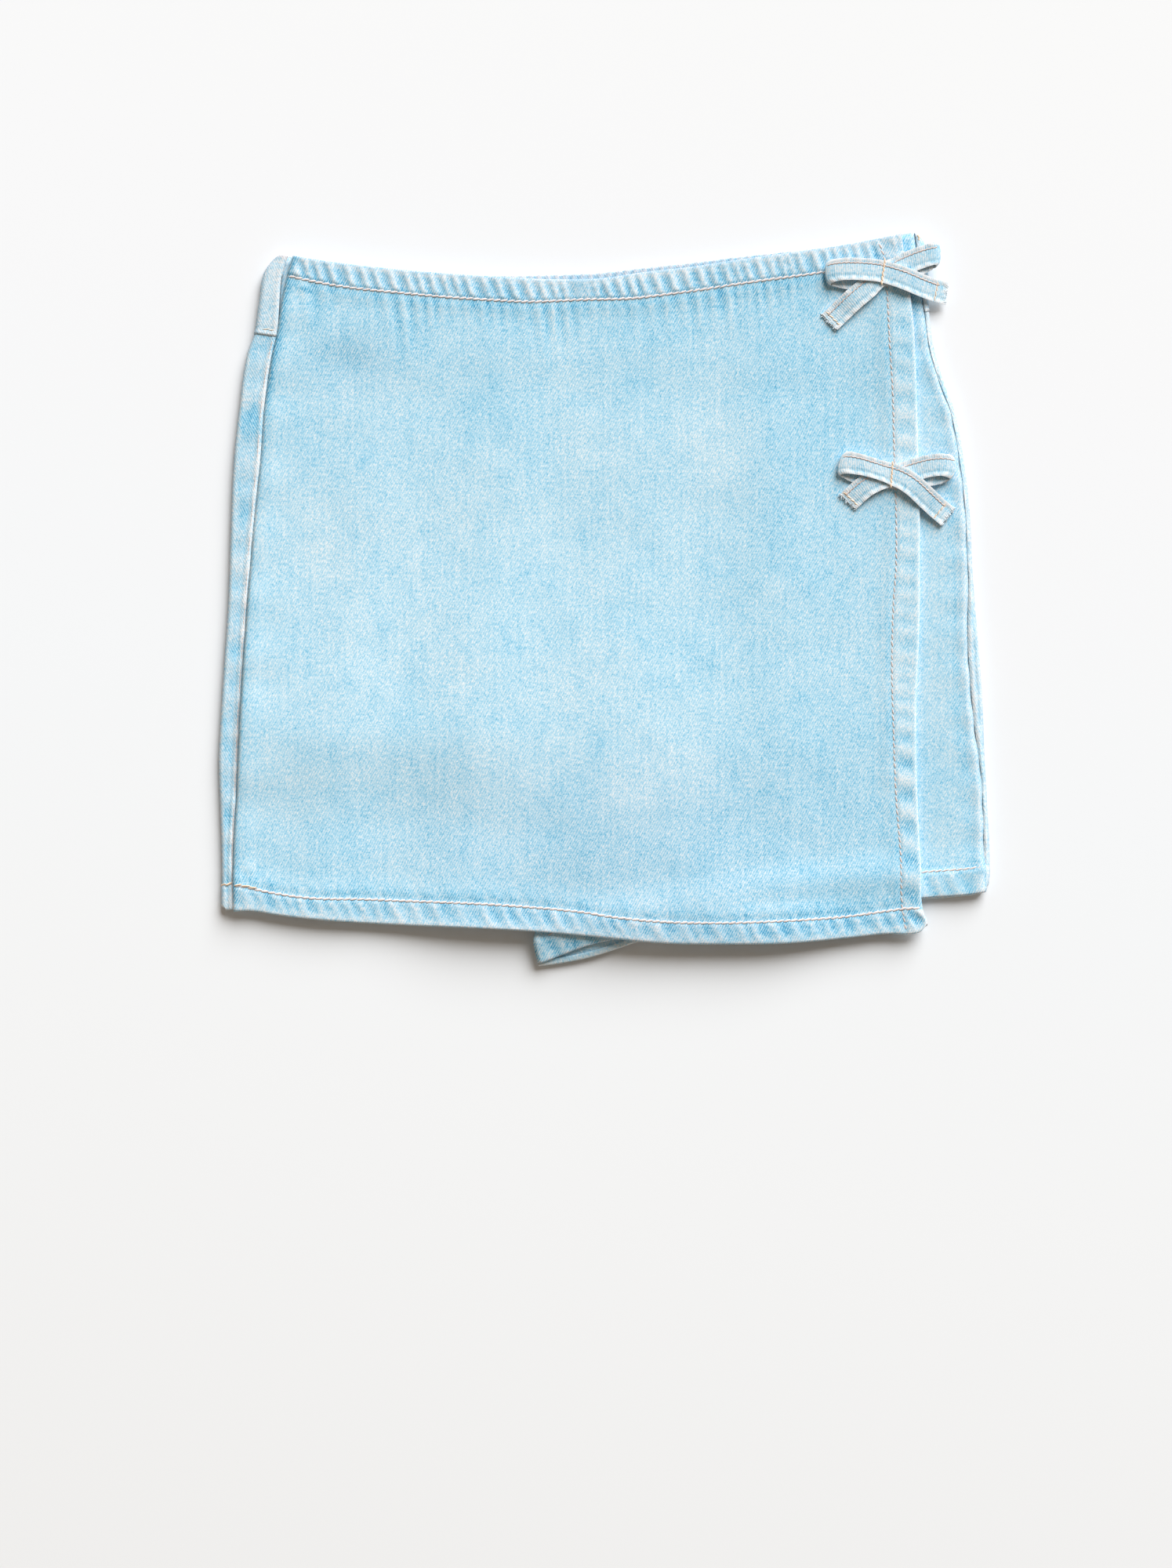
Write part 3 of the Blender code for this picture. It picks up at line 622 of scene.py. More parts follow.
def wrapForm(x, y):
    # Height of the wrap panel above the table at each point, and what its finish reads there
    s = wrapSettings
    inCasing = y - yOf["waistStitch"](x)
    fromTop = yOf["waistEdge"](x) - y
    inHem = yOf["hemStitch"](x) - y
    fromHem = y - yOf["hemEdge"](x)
    inPlacket = x - xOf["placketStitch"](y)
    fromFree = xOf["freeEdge"](y) - x
    fromSeam = x - xOf["leftSeam"](y)
    low, fine = rough(x, y, 9, 8), rough(x, y, 2.6, 9)
    band = np.maximum(np.maximum(ease(-9, 0.4, inCasing), ease(-12, 0.4, inHem)), ease(-9, 0.6, inPlacket))
    z = wrapUnder(x, y) + s["lift"] + (cloth["wrapLift"] - s["lift"]) * band
    # Slanting puckers of the casing
    across = x - s["puckerSlant"] * (fromTop - 5) + 0.25 * fine
    wave = crestWave(caseCrests, across)
    crest = high(wave, 2.2)
    calm = (1 - bump(across + 10, 3.4)) * (1 - 0.75 * ease(121, 126, x)) * ease(1, 4, fromSeam)
    inside = calm * ease(-0.2, 2.4, inCasing) * (0.35 + 0.65 * ease(0, 3.5, fromTop))
    z += s["puckerHeight"] * inside * (crest * (0.85 + 0.3 * low) - 0.3)
    # Short creases that run down from the waist stitching
    below = np.maximum(-inCasing, 0)
    places, strengths, lengths = zip(*waistCrests)
    lean = x - 0.12 * below + 0.3 * fine
    creases = crestWave(places, lean)
    strong = np.interp(lean, places, strengths)
    reach = np.interp(lean, places, lengths) * (1 + 0.25 * low)
    gather = np.where(inCasing < 0, ease(0, 1, below) * np.exp(-(below / reach) ** 1.7) * strong, 0)
    z += s["creaseHeight"] * gather * creases
    # Roping of the hem, and hollows down the free edge
    hemLean = x + 0.5 * (fromHem - 6) + 0.5 * fine + 1.3 * low
    hemWave = crestWave(hemCrests, hemLean)
    hemInside = ease(-0.2, 2.2, inHem) * (0.3 + 0.7 * ease(0, 3, fromHem))
    hemRidge = high(hemWave, 3)
    uneven = rough(x, y * 0.4, 9, 12)
    z += s["ropeHeight"] * (hemRidge - 0.25) * hemInside * (0.85 + 0.9 * uneven)
    aboveHem = np.where(inHem < 0, np.exp(-np.maximum(-inHem, 0) / 5), 0)
    z += 0.14 * aboveHem * hemWave
    freePlaces, freeStrengths = zip(*freeCrests)
    freeLean = y - 0.15 * (fromFree - 5) + 0.5 * fine
    freeWave = crestWave(freePlaces, freeLean)
    freeStrong = np.interp(freeLean, freePlaces, freeStrengths)
    freeInside = ease(-0.2, 2.2, inPlacket) * ease(0.3, 3.2, fromFree) * freeStrong
    z += s["hollowDepth"] * freeWave * freeInside
    besideFree = np.where(inPlacket < 0, np.exp(-np.maximum(-inPlacket, 0) / 5), 0) * freeStrong
    z += 0.1 * besideFree * freeWave
    # Grooves under the stitching
    for inBand in (inCasing, inHem, inPlacket):
        z = z - s["groove"] * bump(inBand, 0.75)
    # The seam pulls the left edge down, with the allowance as a low ridge beside it
    z = z - 0.4 * bump(fromSeam, 0.8) * ease(-128, -122, y) + 0.2 * bump(fromSeam - 5, 3)
    z += 0.2 * bump(fromSeam, 14) * cosWave(warped(y, 30, 8, 61) / 26)
    # Large soft unevenness, a faint crease above the hem and a faint hollow near the left seam
    z += 0.28 * rough(x, y, 46, 71) + 0.1 * rough(x, y, 15, 73) + 0.03 * fine
    z += 0.35 * bump(y + 139 - 0.03 * (x - 80), 1.6) * ease(55, 70, x) * fall(92, 104, x)
    z = z - 0.6 * bump(x + 116, 15) * bump(y - 105, 9)
    hook = bump(y + 124 - 0.6 * np.abs(x + 158), 1.5) * bump(x + 157, 5)
    z = z - 0.5 * hook + 0.35 * bump(y + 121, 3) * bump(x + 156.5, 2.6)

    rubbed = 0.8 + 0.5 * fine
    narrow = high(wave, 3.5) * inside * (0.85 + 0.3 * low)
    worn = 1.1 * narrow + 0.5 * inside * bump(fromTop - 1.4, 1.3) + 0.12 * ease(0, 1, inCasing)
    worn += (0.75 * bump(fromFree, 0.9) + 0.7 * bump(fromHem - 0.4, 1)) * rubbed
    worn += 0.7 * hemInside * hemRidge ** 2 * rubbed * (0.9 + 0.9 * uneven)
    worn += 0.25 * bump(fromHem - 2, 1.6) * rubbed
    worn += 0.4 * freeInside * high(freeWave, 2) + 0.26 * ease(0, 2, inPlacket)
    worn += 0.25 * (bump(inPlacket - 1.8, 0.8) + bump(inHem - 1.6, 0.7)) * rubbed
    worn += 0.45 * gather * high(creases, 4) * ease(0.5, 2.5, below)
    worn += 0.3 * bump(fromSeam, 0.8) * rubbed + 0.25 * ease(-150, -162, x) * hemInside
    # The troughs of the casing puckers and of the creases below it are darker, partly deeper dye and partly
    # painted shade; a thin line of painted shade lies just above the waist stitching
    valley = calm * ease(-0.2, 1, inCasing) * high(-wave, 0.9) * ease(1, 4, fromTop)
    deep = 0.55 * valley * (0.9 + 0.7 * low) + 0.3 * bump(inCasing - 1.2, 0.6) * calm
    deep += 0.95 * gather * high(-creases, 1.2) * (0.9 + 0.5 * fine)
    deep += 0.4 * bump(inCasing + 2.2, 1.8) * (0.7 + 0.6 * low)
    deep += 0.7 * bump(fromSeam - 1.4, 1.7) * ease(70, 112, y) + 0.3 * bump(fromSeam - 1, 1.2)
    deep += 0.5 * bump(inHem + 2.6, 2.2) * ease(-0.5, 0.5, low + 0.4 * hemWave)
    blot = np.clip(high(-hemWave, 1.1) * (0.85 + 0.9 * low + 0.8 * uneven), 0, 1.2)
    deep += ease(-0.2, 0.6, inHem) * (0.14 + 0.62 * blot * ease(1.6, 5.5, fromHem))
    deep += 0.28 * bump(inPlacket + 1.8, 1.5) * (0.7 + 0.6 * low)
    deep += 0.8 * freeInside * high(-freeWave, 1.2)
    # Broad darkening towards the waist, above the hem and in the hollow near the left seam; low in the middle
    # it is painted shade that tones down the rise where the crossed legs lift the panel towards the key light
    deep += 0.16 * ease(60, 125, y) + 0.12 * ease(-60, -125, y) * fall(0, 1, inHem)
    deep += 0.09 * ease(-80, -110, y) * bump(x, 90)
    deep += 0.15 * ease(35, 80, x) * fall(-6, 0, inPlacket) * fall(90, 125, y)
    deep += 0.3 * bump(x + 116, 16) * bump(y - 107, 9) * (0.8 + 0.6 * low)
    spot = y - 137.1 + 0.45 * (x + 132.6)
    deep = deep * (1 - 0.7 * bump(x + 132.6, 6) * bump(spot, 3.5))
    deep += 1.1 * bump(x + 132.6, 3) * bump(spot, 1.4) + 0.6 * hook
    # Blush: pale over the casing except its crests, partly the cloth's tint and partly painted shade; strong
    # along the waist edge; darker in the hollow near the left seam; painted shade low in the middle over the
    # rise lit by the key light; a little over the hem band
    blush = 0.38 * ease(-0.2, 0.8, inCasing) * (1 - 0.6 * narrow) + 1.6 * bump(fromTop, 0.5)
    blush += 0.25 * bump(x + 112, 18) * bump(y - 104, 12)
    blush += 0.34 * ease(-45, -105, y) * bump(x - 15, 100) + 0.15 * ease(0, 1, inHem)
    worn += 0.4 * bump(y + 121, 3) * bump(x + 156.5, 2)
    worn += 0.5 * bump(x + 132.6, 6) * bump(spot, 3) * (1 - 2 * bump(spot, 1.6))
    return z, looks(worn, deep, np.clip(blush, 0, 1.6), 1.1)


def makeWrap():
    s = wrapSettings
    radius = s["foldRadius"]
    columns = (between("leftSeam", "placketStitch", shares(190))
               + between("placketStitch", "freeEdge", shares(14)[1:], -radius)
               + foldOver("freeEdge", -1, radius, s["tuck"]))
    rows = (foldOver("waistEdge", -1, radius, s["tuck"])[::-1]
            + between("waistEdge", "waistStitch", shares(18), 0, -radius)
            + between("waistStitch", "hemStitch", shares(120)[1:])
            + between("hemStitch", "hemEdge", shares(12)[1:], radius)
            + foldOver("hemEdge", 1, radius, s["tuck"]))
    x, y, drop = crossGrid(columns, rows)
    z, values = wrapForm(x, y)
    values["blush"] = np.maximum(values["blush"], 1.5 * ease(0.05, 0.5, drop) * ease(100, 125, y))
    return clothPiece("wrap_front", "wrap_panel", "denim_front", denimFront, x, y, z - drop, values)


wrap = makeWrap()


def wrapRow(name, x, y, finish, lift=0.16, **ways):
    return stitchRow(name, x, y, wrapForm(x, y)[0] + lift, finish, "denim_front", **ways)


def crossing(name, first, last, offset=0, steps=500):
    x = np.linspace(first, last, steps)
    return x, yOf[name](x) + offset


def upright(name, first, last, offset=0, steps=500):
    y = np.linspace(first, last, steps)
    return xOf[name](y) + offset, y


wrapRows = [
    wrapRow("waist_stitches", *crossing("waistStitch", -140.2, 133.6), creamThread, wide=1.06, lift=0.2),
    wrapRow("placket_stitches", *upright("placketStitch", 157.8, -147.6), pinkThread, pitch=3, gap=0.3,
            wide=0.7, lift=0.12),
    wrapRow("hem_stitches", *crossing("hemStitch", -164.2, 140.6), creamThread, wide=1.2, lift=0.2),
    wrapRow("hem_lock_stitches", *crossing("hemStitch", -164.4, -154, 0.5), peachThread, wide=0.8, lift=0.5),
]
print("wrap panel ready")

# Fronts of the shorts
legSettings = {
    "hemDepth": 11.6,
    "foldRadius": 0.75,
    "tuck": 2,
    "rest": 0.75,
    "hemRise": 0.75,
    "length": 296,
    "standOff": 2.4,
}


def standOff(y):
    # Width of the shorts' edge that shows at the top of the left side
    return legSettings["standOff"] * ease(120, 148, y)


def legForm(x, y, under, hem, fromSide, fromInner):
    s = legSettings
    fromHem = y - yOf[hem](x)
    inHem = s["hemDepth"] - fromHem
    band = ease(-1.6, 0.5, inHem)
    z = under(x, y) + s["rest"] + s["hemRise"] * band
    roping = cosWave(warped(x + 0.5 * fromHem, 15, 3, 91) / 8)
    inside = ease(-0.2, 2, inHem)
    z += 0.16 * roping * inside - 0.4 * bump(inHem, 0.75)
    z = z - 0.45 * bump(fromSide, 1.1) + 0.28 * bump(fromSide - 2.2, 1.5)
    z = z - 0.3 * bump(fromInner, 1) + 0.2 * bump(fromInner - 2.2, 1.5)
    z += 0.22 * bump(fromSide, 10) * cosWave(warped(y, 19, 5, 93) / 17)
    z += 0.12 * rough(x, y, 11, 95)
    # The left edge stands up beside the wrap panel near the waist
    z += 1.3 * ease(118, 132, y) * ease(-100, -130, x) * bump(fromSide - 0.6, 1.2)
    worn = 0.6 * bump(fromHem, 0.9) + 0.35 * inside * np.maximum(roping, 0) ** 2
    worn += 0.45 * bump(fromSide - 1.6, 1.2) + 0.4 * bump(fromInner - 1.6, 1.2)
    deep = 0.4 * bump(inHem + 1.8, 1.5) * (0.6 + 0.6 * rough(x, y, 8, 97))
    deep += 0.4 * inside * np.maximum(-roping, 0) ** 2 + 0.25 * bump(fromSide - 6, 3)
    deep += 0.3 * ease(120, 135, y) * ease(100, 110, x)
    # Coarse ribs on the corner below the wrap panel
    ribs = rough(x * 2 - y * 0.3, y * 0.45, 1.9, 99) * ease(-149, -154, y)
    z += 0.15 * ribs
    worn += 0.8 * np.maximum(ribs, 0) + 0.6 * bump(fromHem, 1) * ease(-149, -152, y)
    # Painted shadow over the corner that lies under the wrap panel's hem, and darker troughs between the ribs
    deep += 0.4 * ease(-149, -155, y) + 1.2 * np.maximum(-ribs, 0)
    blush = 0.35 * bump(fromSide, 1) + 0.2 * bump(fromSide - 3, 2) + 0.7 * bump(fromHem, 0.6)
    return z, looks(worn, deep, blush)


def makeFrontLeg(name, node, under, hem, left, right, counts):
    s = legSettings
    radius = s["foldRadius"]
    share = s["hemDepth"] / s["length"]  # of the turned hem in the leg's height
    columns = between(left, right, shares(counts[0]))
    body = [step * (1 - share) for step in shares(counts[1])]
    turnedUnder = [1 - share * (1 - step) for step in shares(10)[1:]]
    rows = (between("shortsWaist", hem, body)
            + [("shortsWaist", hem, step, radius * ease(1 - share, 1, step), 0) for step in turnedUnder]
            + foldOver(hem, 1, radius, s["tuck"]))
    x, y, drop = crossGrid(columns, rows)
    sides = x - xOf[left](y), xOf[right](y) - x
    z, values = legForm(x, y, under, hem, *(sides if "Seam" in left else sides[::-1]))
    return clothPiece(name, node, "denim_front", denimLeg, x, y, z - drop, values)


xOf["leftSideSeam"] = lambda y: xOf["leftSeam"](y) - standOff(y)
xOf["rightSideSeam"] = lambda y: np.minimum(
    xOf["rightSeam"](y) + 1 * ease(-114, -122, y), xOf["rightFold"](y) - 2.4 + 1.5 * ease(-114, -122, y))
frontLeft = makeFrontLeg("leg_front_left", "front_leg_left", leftFrontUnder, "leftLegHem",
                         "leftSideSeam", "leftInner", (60, 90))
frontRight = makeFrontLeg("leg_front_right", "front_leg_right", rightFrontUnder, "rightFrontHem",
                          "rightInner", "rightSideSeam", (110, 130))


def legRow(name, under, hem, x, y, finish, **ways):
    far = 60 + 0 * x  # away from both seams
    z = legForm(x, y, under, hem, far, far)[0] + 0.14
    return stitchRow(name, x, y, z, finish, "denim_front", **ways)


legRows = {
    side: legRow(f"leg_front_{side}_hem_stitches", under, hem,
                 *crossing(hem, first, last, legSettings["hemDepth"]), creamThread)
    for side, under, hem, first, last in (("left", leftFrontUnder, "leftLegHem", -163, 24),
                                          ("right", rightFrontUnder, "rightFrontHem", -25, 169))}
print("fronts of the shorts ready")

# Backs of the shorts and the gathered band
backSettings = {
    "hemDepth": 11.6,
    "foldRadius": 0.75,
    "tuck": 2,
    "rest": 0.3,
    "gathers": 76,
    "gatherHeight": 0.5,
    "casingTuck": 9,
    "topStitch": 3.8,
    "lowStitch": 2.8,
}


def roundBack(side, inner, fold, seam, height, u):
    # Place and outward direction round a back: u 0 to 1 on the table, 1 to 2 up the fold, 2 to 3 to the seam
    radius = height / 2
    turn = fold - side * radius
    angle = math.pi * np.clip(u - 1, 0, 1)
    end = side * np.minimum(side * seam, side * turn - 0.3)
    x = np.where(u <= 1, inner + (turn - inner) * np.clip(u, 0, 1), turn + side * radius * np.sin(angle))
    x = np.where(u > 2, turn + (end - turn) * np.clip(u - 2, 0, 1), x)
    return x, radius - radius * np.cos(angle), side * np.sin(angle), -np.cos(angle)


def backAt(part, u, v, offset, fromSeam=0.25):
    # Place, outward direction and underside of a back, at a share of its way down and an offset
    side, inner, fold, hem = (part[key] for key in ("side", "inner", "fold", "hem"))
    y = 118 - 258 * v + 0 * u
    for _ in range(rounds):
        x, z, outX, outZ = roundBack(side, xOf[inner](y), xOf[fold](y), part["seam"](y), part["height"], u)
        top = yOf["bandSeam"](x)
        y = top + (yOf[hem](x) - top) * v + offset
    return x, y, z, outX, outZ


def makeBackLeg(name, part):
    s = backSettings
    u = spans((0, 1, 64), (1, 2, 11), (2, 3, 17))
    radius, hem = s["foldRadius"], part["hem"]
    # The top is tucked under the band
    lines = [(0, step, 0) for step in (1.6, 0.8, 0.25, 0, -0.4, -0.9)]
    lines += [(step, -1.4 * (1 - step), 0) for step in np.linspace(0, 0.95, 110)]
    lines += [(step, radius * ease(0.95, 1, step), 0) for step in np.linspace(0.95, 1, 11)[1:]]
    lines += [(1, line[3], line[4]) for line in foldOver(hem, 1, radius, s["tuck"])]
    v, offset, drop = (np.array([line[index] for line in lines])[:, None] for index in range(3))
    x, y, z, outX, outZ = backAt(part, u, v, offset)
    flat = np.clip(1 - (u - 1) * 4, 0, 1) + 0 * y
    fromTop = yOf["bandSeam"](x) - y
    fromHem = y - yOf[hem](x)
    inHem = s["hemDepth"] - fromHem
    inside = ease(-0.2, 2, inHem)
    strip = ease(1.6, 2.2, u) + 0 * y
    toSeam = np.abs(x - part["seam"](y))
    toFold = np.abs(x - xOf[part["fold"]](y))
    fromInner = np.abs(x - xOf[part["inner"]](y))
    low, fine = rough(x, y, 9, 105), rough(x, y, 2.6, 107)
    blotch = ease(-0.05, 0.45, rough(x * 3, y, 17, 109))
    roping = cosWave(warped(y, 12, 4, 101) / 15)
    sink = s["rest"] * fall(-1.6, 0.5, inHem) + 0.25 * bump(inHem, 0.8) + 0.85 * fall(-0.35, 0, fromTop)
    sink += flat * (0.22 * bump(fromInner, 1.2) + 0.14 * bump(fromInner - 5, 0.7))
    sink += flat * 0.12 * (0.5 + 0.5 * rough(x, y, 22, 103))
    sink += strip * 0.14 * bump(toSeam, 0.5) * ease(9, 14, fromHem)
    sink = sink - strip * (0.3 * bump(toSeam - 1.3, 1) + 0.14 * roping - 0.1 * low)
    sink += strip * 0.1 * bump(toSeam - 2.9, 0.8)
    y = y + 2 * (1 - flat) * bump(toFold, 1.8) * bump(fromHem, 3)
    x = x - outX * (sink + drop)
    z = z - outZ * (sink + drop) + flat * part["under"](x, y)
    worn = strip * (0.95 * bump(toSeam - 0.9, 1.1) * (0.8 + 0.5 * fine) + 0.2 * np.maximum(roping, 0))
    worn += 0.9 * bump(fromHem, 0.9) + 0.3 * (1 - flat) * bump(toFold, 2)
    worn += 0.3 * flat * bump(fromInner - 2, 1.4)
    deep = strip * (0.2 * bump(toSeam - 3.6, 1.5) * (0.6 + 0.8 * low) + 0.2 * np.maximum(-roping, 0))
    deep += strip * blotch * (0.4 + 0.4 * ease(10, 60, y)) + 0.35 * bump(inHem + 1.8, 1.5)
    deep += 0.35 * strip * bump(fromTop - 0.6, 1.2)
    blush = 0.25 * strip * (1 - 0.6 * blotch) + 0.9 * (1 - flat) * bump(toFold, 0.8)
    values = looks(worn, deep, blush)
    return clothPiece(name, part["node"], "denim_back", denimBack, x, y, z, values, faceUp=False)


def backRow(name, part, u, v, offset, finish, outward=0.06, **ways):
    # Stitches on a back, on the table or round its fold
    x, y, z, outX, outZ = backAt(part, u, v, offset)
    flat = np.clip(1 - (u - 1) * 4, 0, 1)
    fromHem = y - yOf[part["hem"]](x)
    inner = backSettings["rest"] * fall(-1.6, 0.5, backSettings["hemDepth"] - fromHem) + 0.1 - outward
    x, z = x - outX * inner, z - outZ * inner + flat * part["under"](x, y)
    return stitchRow(name, x, y, z, finish, "denim_back", **ways)


def bandAt(u, v, offset):
    # The same for the band: u from -3 at the left seam to 3 at the right seam, flat from -1 to 1
    y = 153 - 35 * v + 0 * u
    share = np.clip((u + 1) / 2, 0, 1)
    for _ in range(rounds):
        ends = []
        for part in backs.values():
            side, fold = part["side"], xOf[part["fold"]](y)
            ends.append(roundBack(side, 0 * y, fold, part["seam"](y), part["height"], side * u))
            ends.append(fold - side * part["height"] / 2)
        left, leftTurn, right, rightTurn = ends
        x = np.where(u < -1, left[0], np.where(u > 1, right[0], leftTurn + (rightTurn - leftTurn) * share))
        y = yOf["bandTop"](x) + (yOf["bandSeam"](x) - yOf["bandTop"](x)) * v + offset
    z, outX, outZ = (np.where(u < -1, left[index], np.where(u > 1, right[index], flat))
                     for index, flat in ((1, 0), (2, 0), (3, -1)))
    return x, y, z, outX, outZ, share


def bandRow(name, v, offset, finish, **ways):
    u = spans((-2.95, -2, 30), (-2, -1, 30), (-1, 1, 600), (1, 2, 30), (2, 2.95, 20))
    x, y, z, outX, outZ, _ = bandAt(u, v, offset)
    return stitchRow(name, x - outX * 0.2, y, z - outZ * 0.2, finish, "denim_back", **ways)


def makeBand():
    s = backSettings
    u = spans((-3, -2, 14), (-2, -1, 9), (-1, 1, s["gathers"] * 6 + 1), (1, 2, 9), (2, 3, 9))
    radius = s["foldRadius"]
    tucks = [(0, -radius - step, 2 * radius) for step in np.linspace(s["casingTuck"], 0.6, 7)]
    lines = tucks + [(0, line[3], line[4]) for line in foldOver("bandTop", -1, radius, 0)[:6][::-1]]
    lines += [(step, -radius * (1 - step), 0) for step in np.linspace(0, 1, 29)]
    v, offset, drop = (np.array([line[index] for line in lines])[:, None] for index in range(3))
    x, y, z, outX, outZ, share = bandAt(u, v, offset)
    ends = ease(0, 0.06, share) * ease(0, 0.06, 1 - share)
    fromTop = yOf["bandTop"](x) - y
    fromLow = y - yOf["bandSeam"](x)
    fine = rough(x, y, 2.6, 115)
    wave = cosWave(s["gathers"] * (share + 0.0009 * rough(share * 280, fromTop, 9, 111)))
    ridge = high(-wave) * (0.8 + 0.4 * rough(x, y * 0.3, 5, 113))
    topStitch, lowStitch = fromTop - s["topStitch"], fromLow - s["lowStitch"]
    strip = ease(1.6, 2.2, np.abs(u))
    toSeam = np.where(u < 0, backs["left"]["seam"](y) - x, x - backs["right"]["seam"](y))
    sink = 0.08 + 0.2 * (bump(topStitch, 0.7) + bump(lowStitch, 0.7)) - 0.12 * bump(fromLow - 0.6, 0.7)
    sink += strip * (0.14 * bump(toSeam, 0.5) - 0.25 * bump(toSeam - 1.3, 1) + 0.12 * rough(x, y, 6, 117))
    toFold = np.minimum(np.abs(x - xOf["leftFold"](y)), np.abs(x - xOf["rightFold"](y)))
    y = y + ends * 0.5 * ridge * bump(fromTop, 2.5) - 1.6 * bump(toFold, 1.9) * bump(fromTop, 3)
    x = x - outX * (sink + drop)
    z = z - outZ * (sink + drop) + s["gatherHeight"] * ridge * ends
    worn = 0.55 * ridge * ends + strip * (0.3 + 0.35 * bump(toSeam - 1.2, 0.9)) + 0.4 * bump(fromTop, 1.2)
    worn += (0.5 * bump(fromLow - 0.3, 0.8) + 0.2 * bump(fromLow - 5, 1.5)) * (0.8 + 0.5 * fine)
    # Painted shade in the valleys between the gathers
    deep = 0.5 * ends * (1 - ridge) ** 2 + 0.3 * strip * bump(topStitch - 1.5, 1.2)
    deep += 0.25 * bump(lowStitch - 1.2, 0.9)
    blush = 0.7 + 0.9 * bump(fromTop, 1.4) - 0.4 * strip
    return clothPiece("waistband_back", "back_waistband", "denim_back", denimBack, x, y, z,
                      looks(worn, deep, blush), faceUp=False)


# Seams of the backs stop just short of the fronts
backs = {
    "left": {
        "node": "back_leg_left", "side": -1, "hem": "leftLegHem", "inner": "leftInner",
        "fold": "leftFold", "seam": lambda y: xOf["leftSeam"](y) - 0.12 * ease(-130, -124, y) - standOff(y),
        "height": cloth["leftFold"], "under": lambda x, y: 0 * x},
    "right": {
        "node": "back_leg_right", "side": 1, "hem": "rightBackHem", "inner": "rightInner",
        "fold": "rightFold", "seam": lambda y: xOf["rightSeam"](y) + 0.05,
        "height": cloth["rightFold"], "under": rightBackUnder},
}
backLeft = makeBackLeg("leg_back_left", backs["left"])
backRight = makeBackLeg("leg_back_right", backs["right"])
band = makeBand()
roundHem = np.linspace(0.02, 2.9, 500)
downLeg = np.linspace(0, 0.96, 400)


def backHemRow(side, finish, **ways):
    name = f"leg_back_{side}_hem_stitches"
    return backRow(name, backs[side], roundHem, 1 + 0 * roundHem, backSettings["hemDepth"], finish, **ways)


backRows = {
    "left": [
        backHemRow("left", peachThread, outward=0.3),
        backRow("leg_back_left_seam_stitches", backs["left"], 2.86 + 0 * downLeg, downLeg, -2, creamThread,
                pitch=2.2, wide=0.5, turn=0, outward=0.35),
        backRow("centre_back_stitches", backs["left"], 0.035 + 0 * downLeg, downLeg, 0, tanThread)],
    "right": [backHemRow("right", creamThread)],
    "band": [
        bandRow("waistband_top_stitches", 0, -backSettings["topStitch"], creamThread, wide=0.6),
        bandRow("waistband_low_stitches", 1, backSettings["lowStitch"], tanThread, wide=0.6),
        stitchRow("waistband_bartack", np.array([139.9, 140.4, 140, 140.7, 140.5]),
                  np.array([161.9, 161.1, 160.6, 159.9, 159.2]), cloth["rightFold"] + 0.05, peachThread,
                  "denim_back", pitch=1.1, wide=1.1)],
}
print("backs ready")

# Bows: a folded strap that runs from its left tail through both loops to its right tail
bowSettings = {
    "width": 9.8,
    "wall": 0.8,
    "stepsEach": 12,
    "across": 22,
    "flatten": 0.66,
    "settle": 0.7,
    "stitchIn": 2.1,
    "roundEnd": 0.07,
    "frays": 70,
    "flat": {"upper": (0.0101, 0.2), "lower": (0.0101, 0.193)},
}
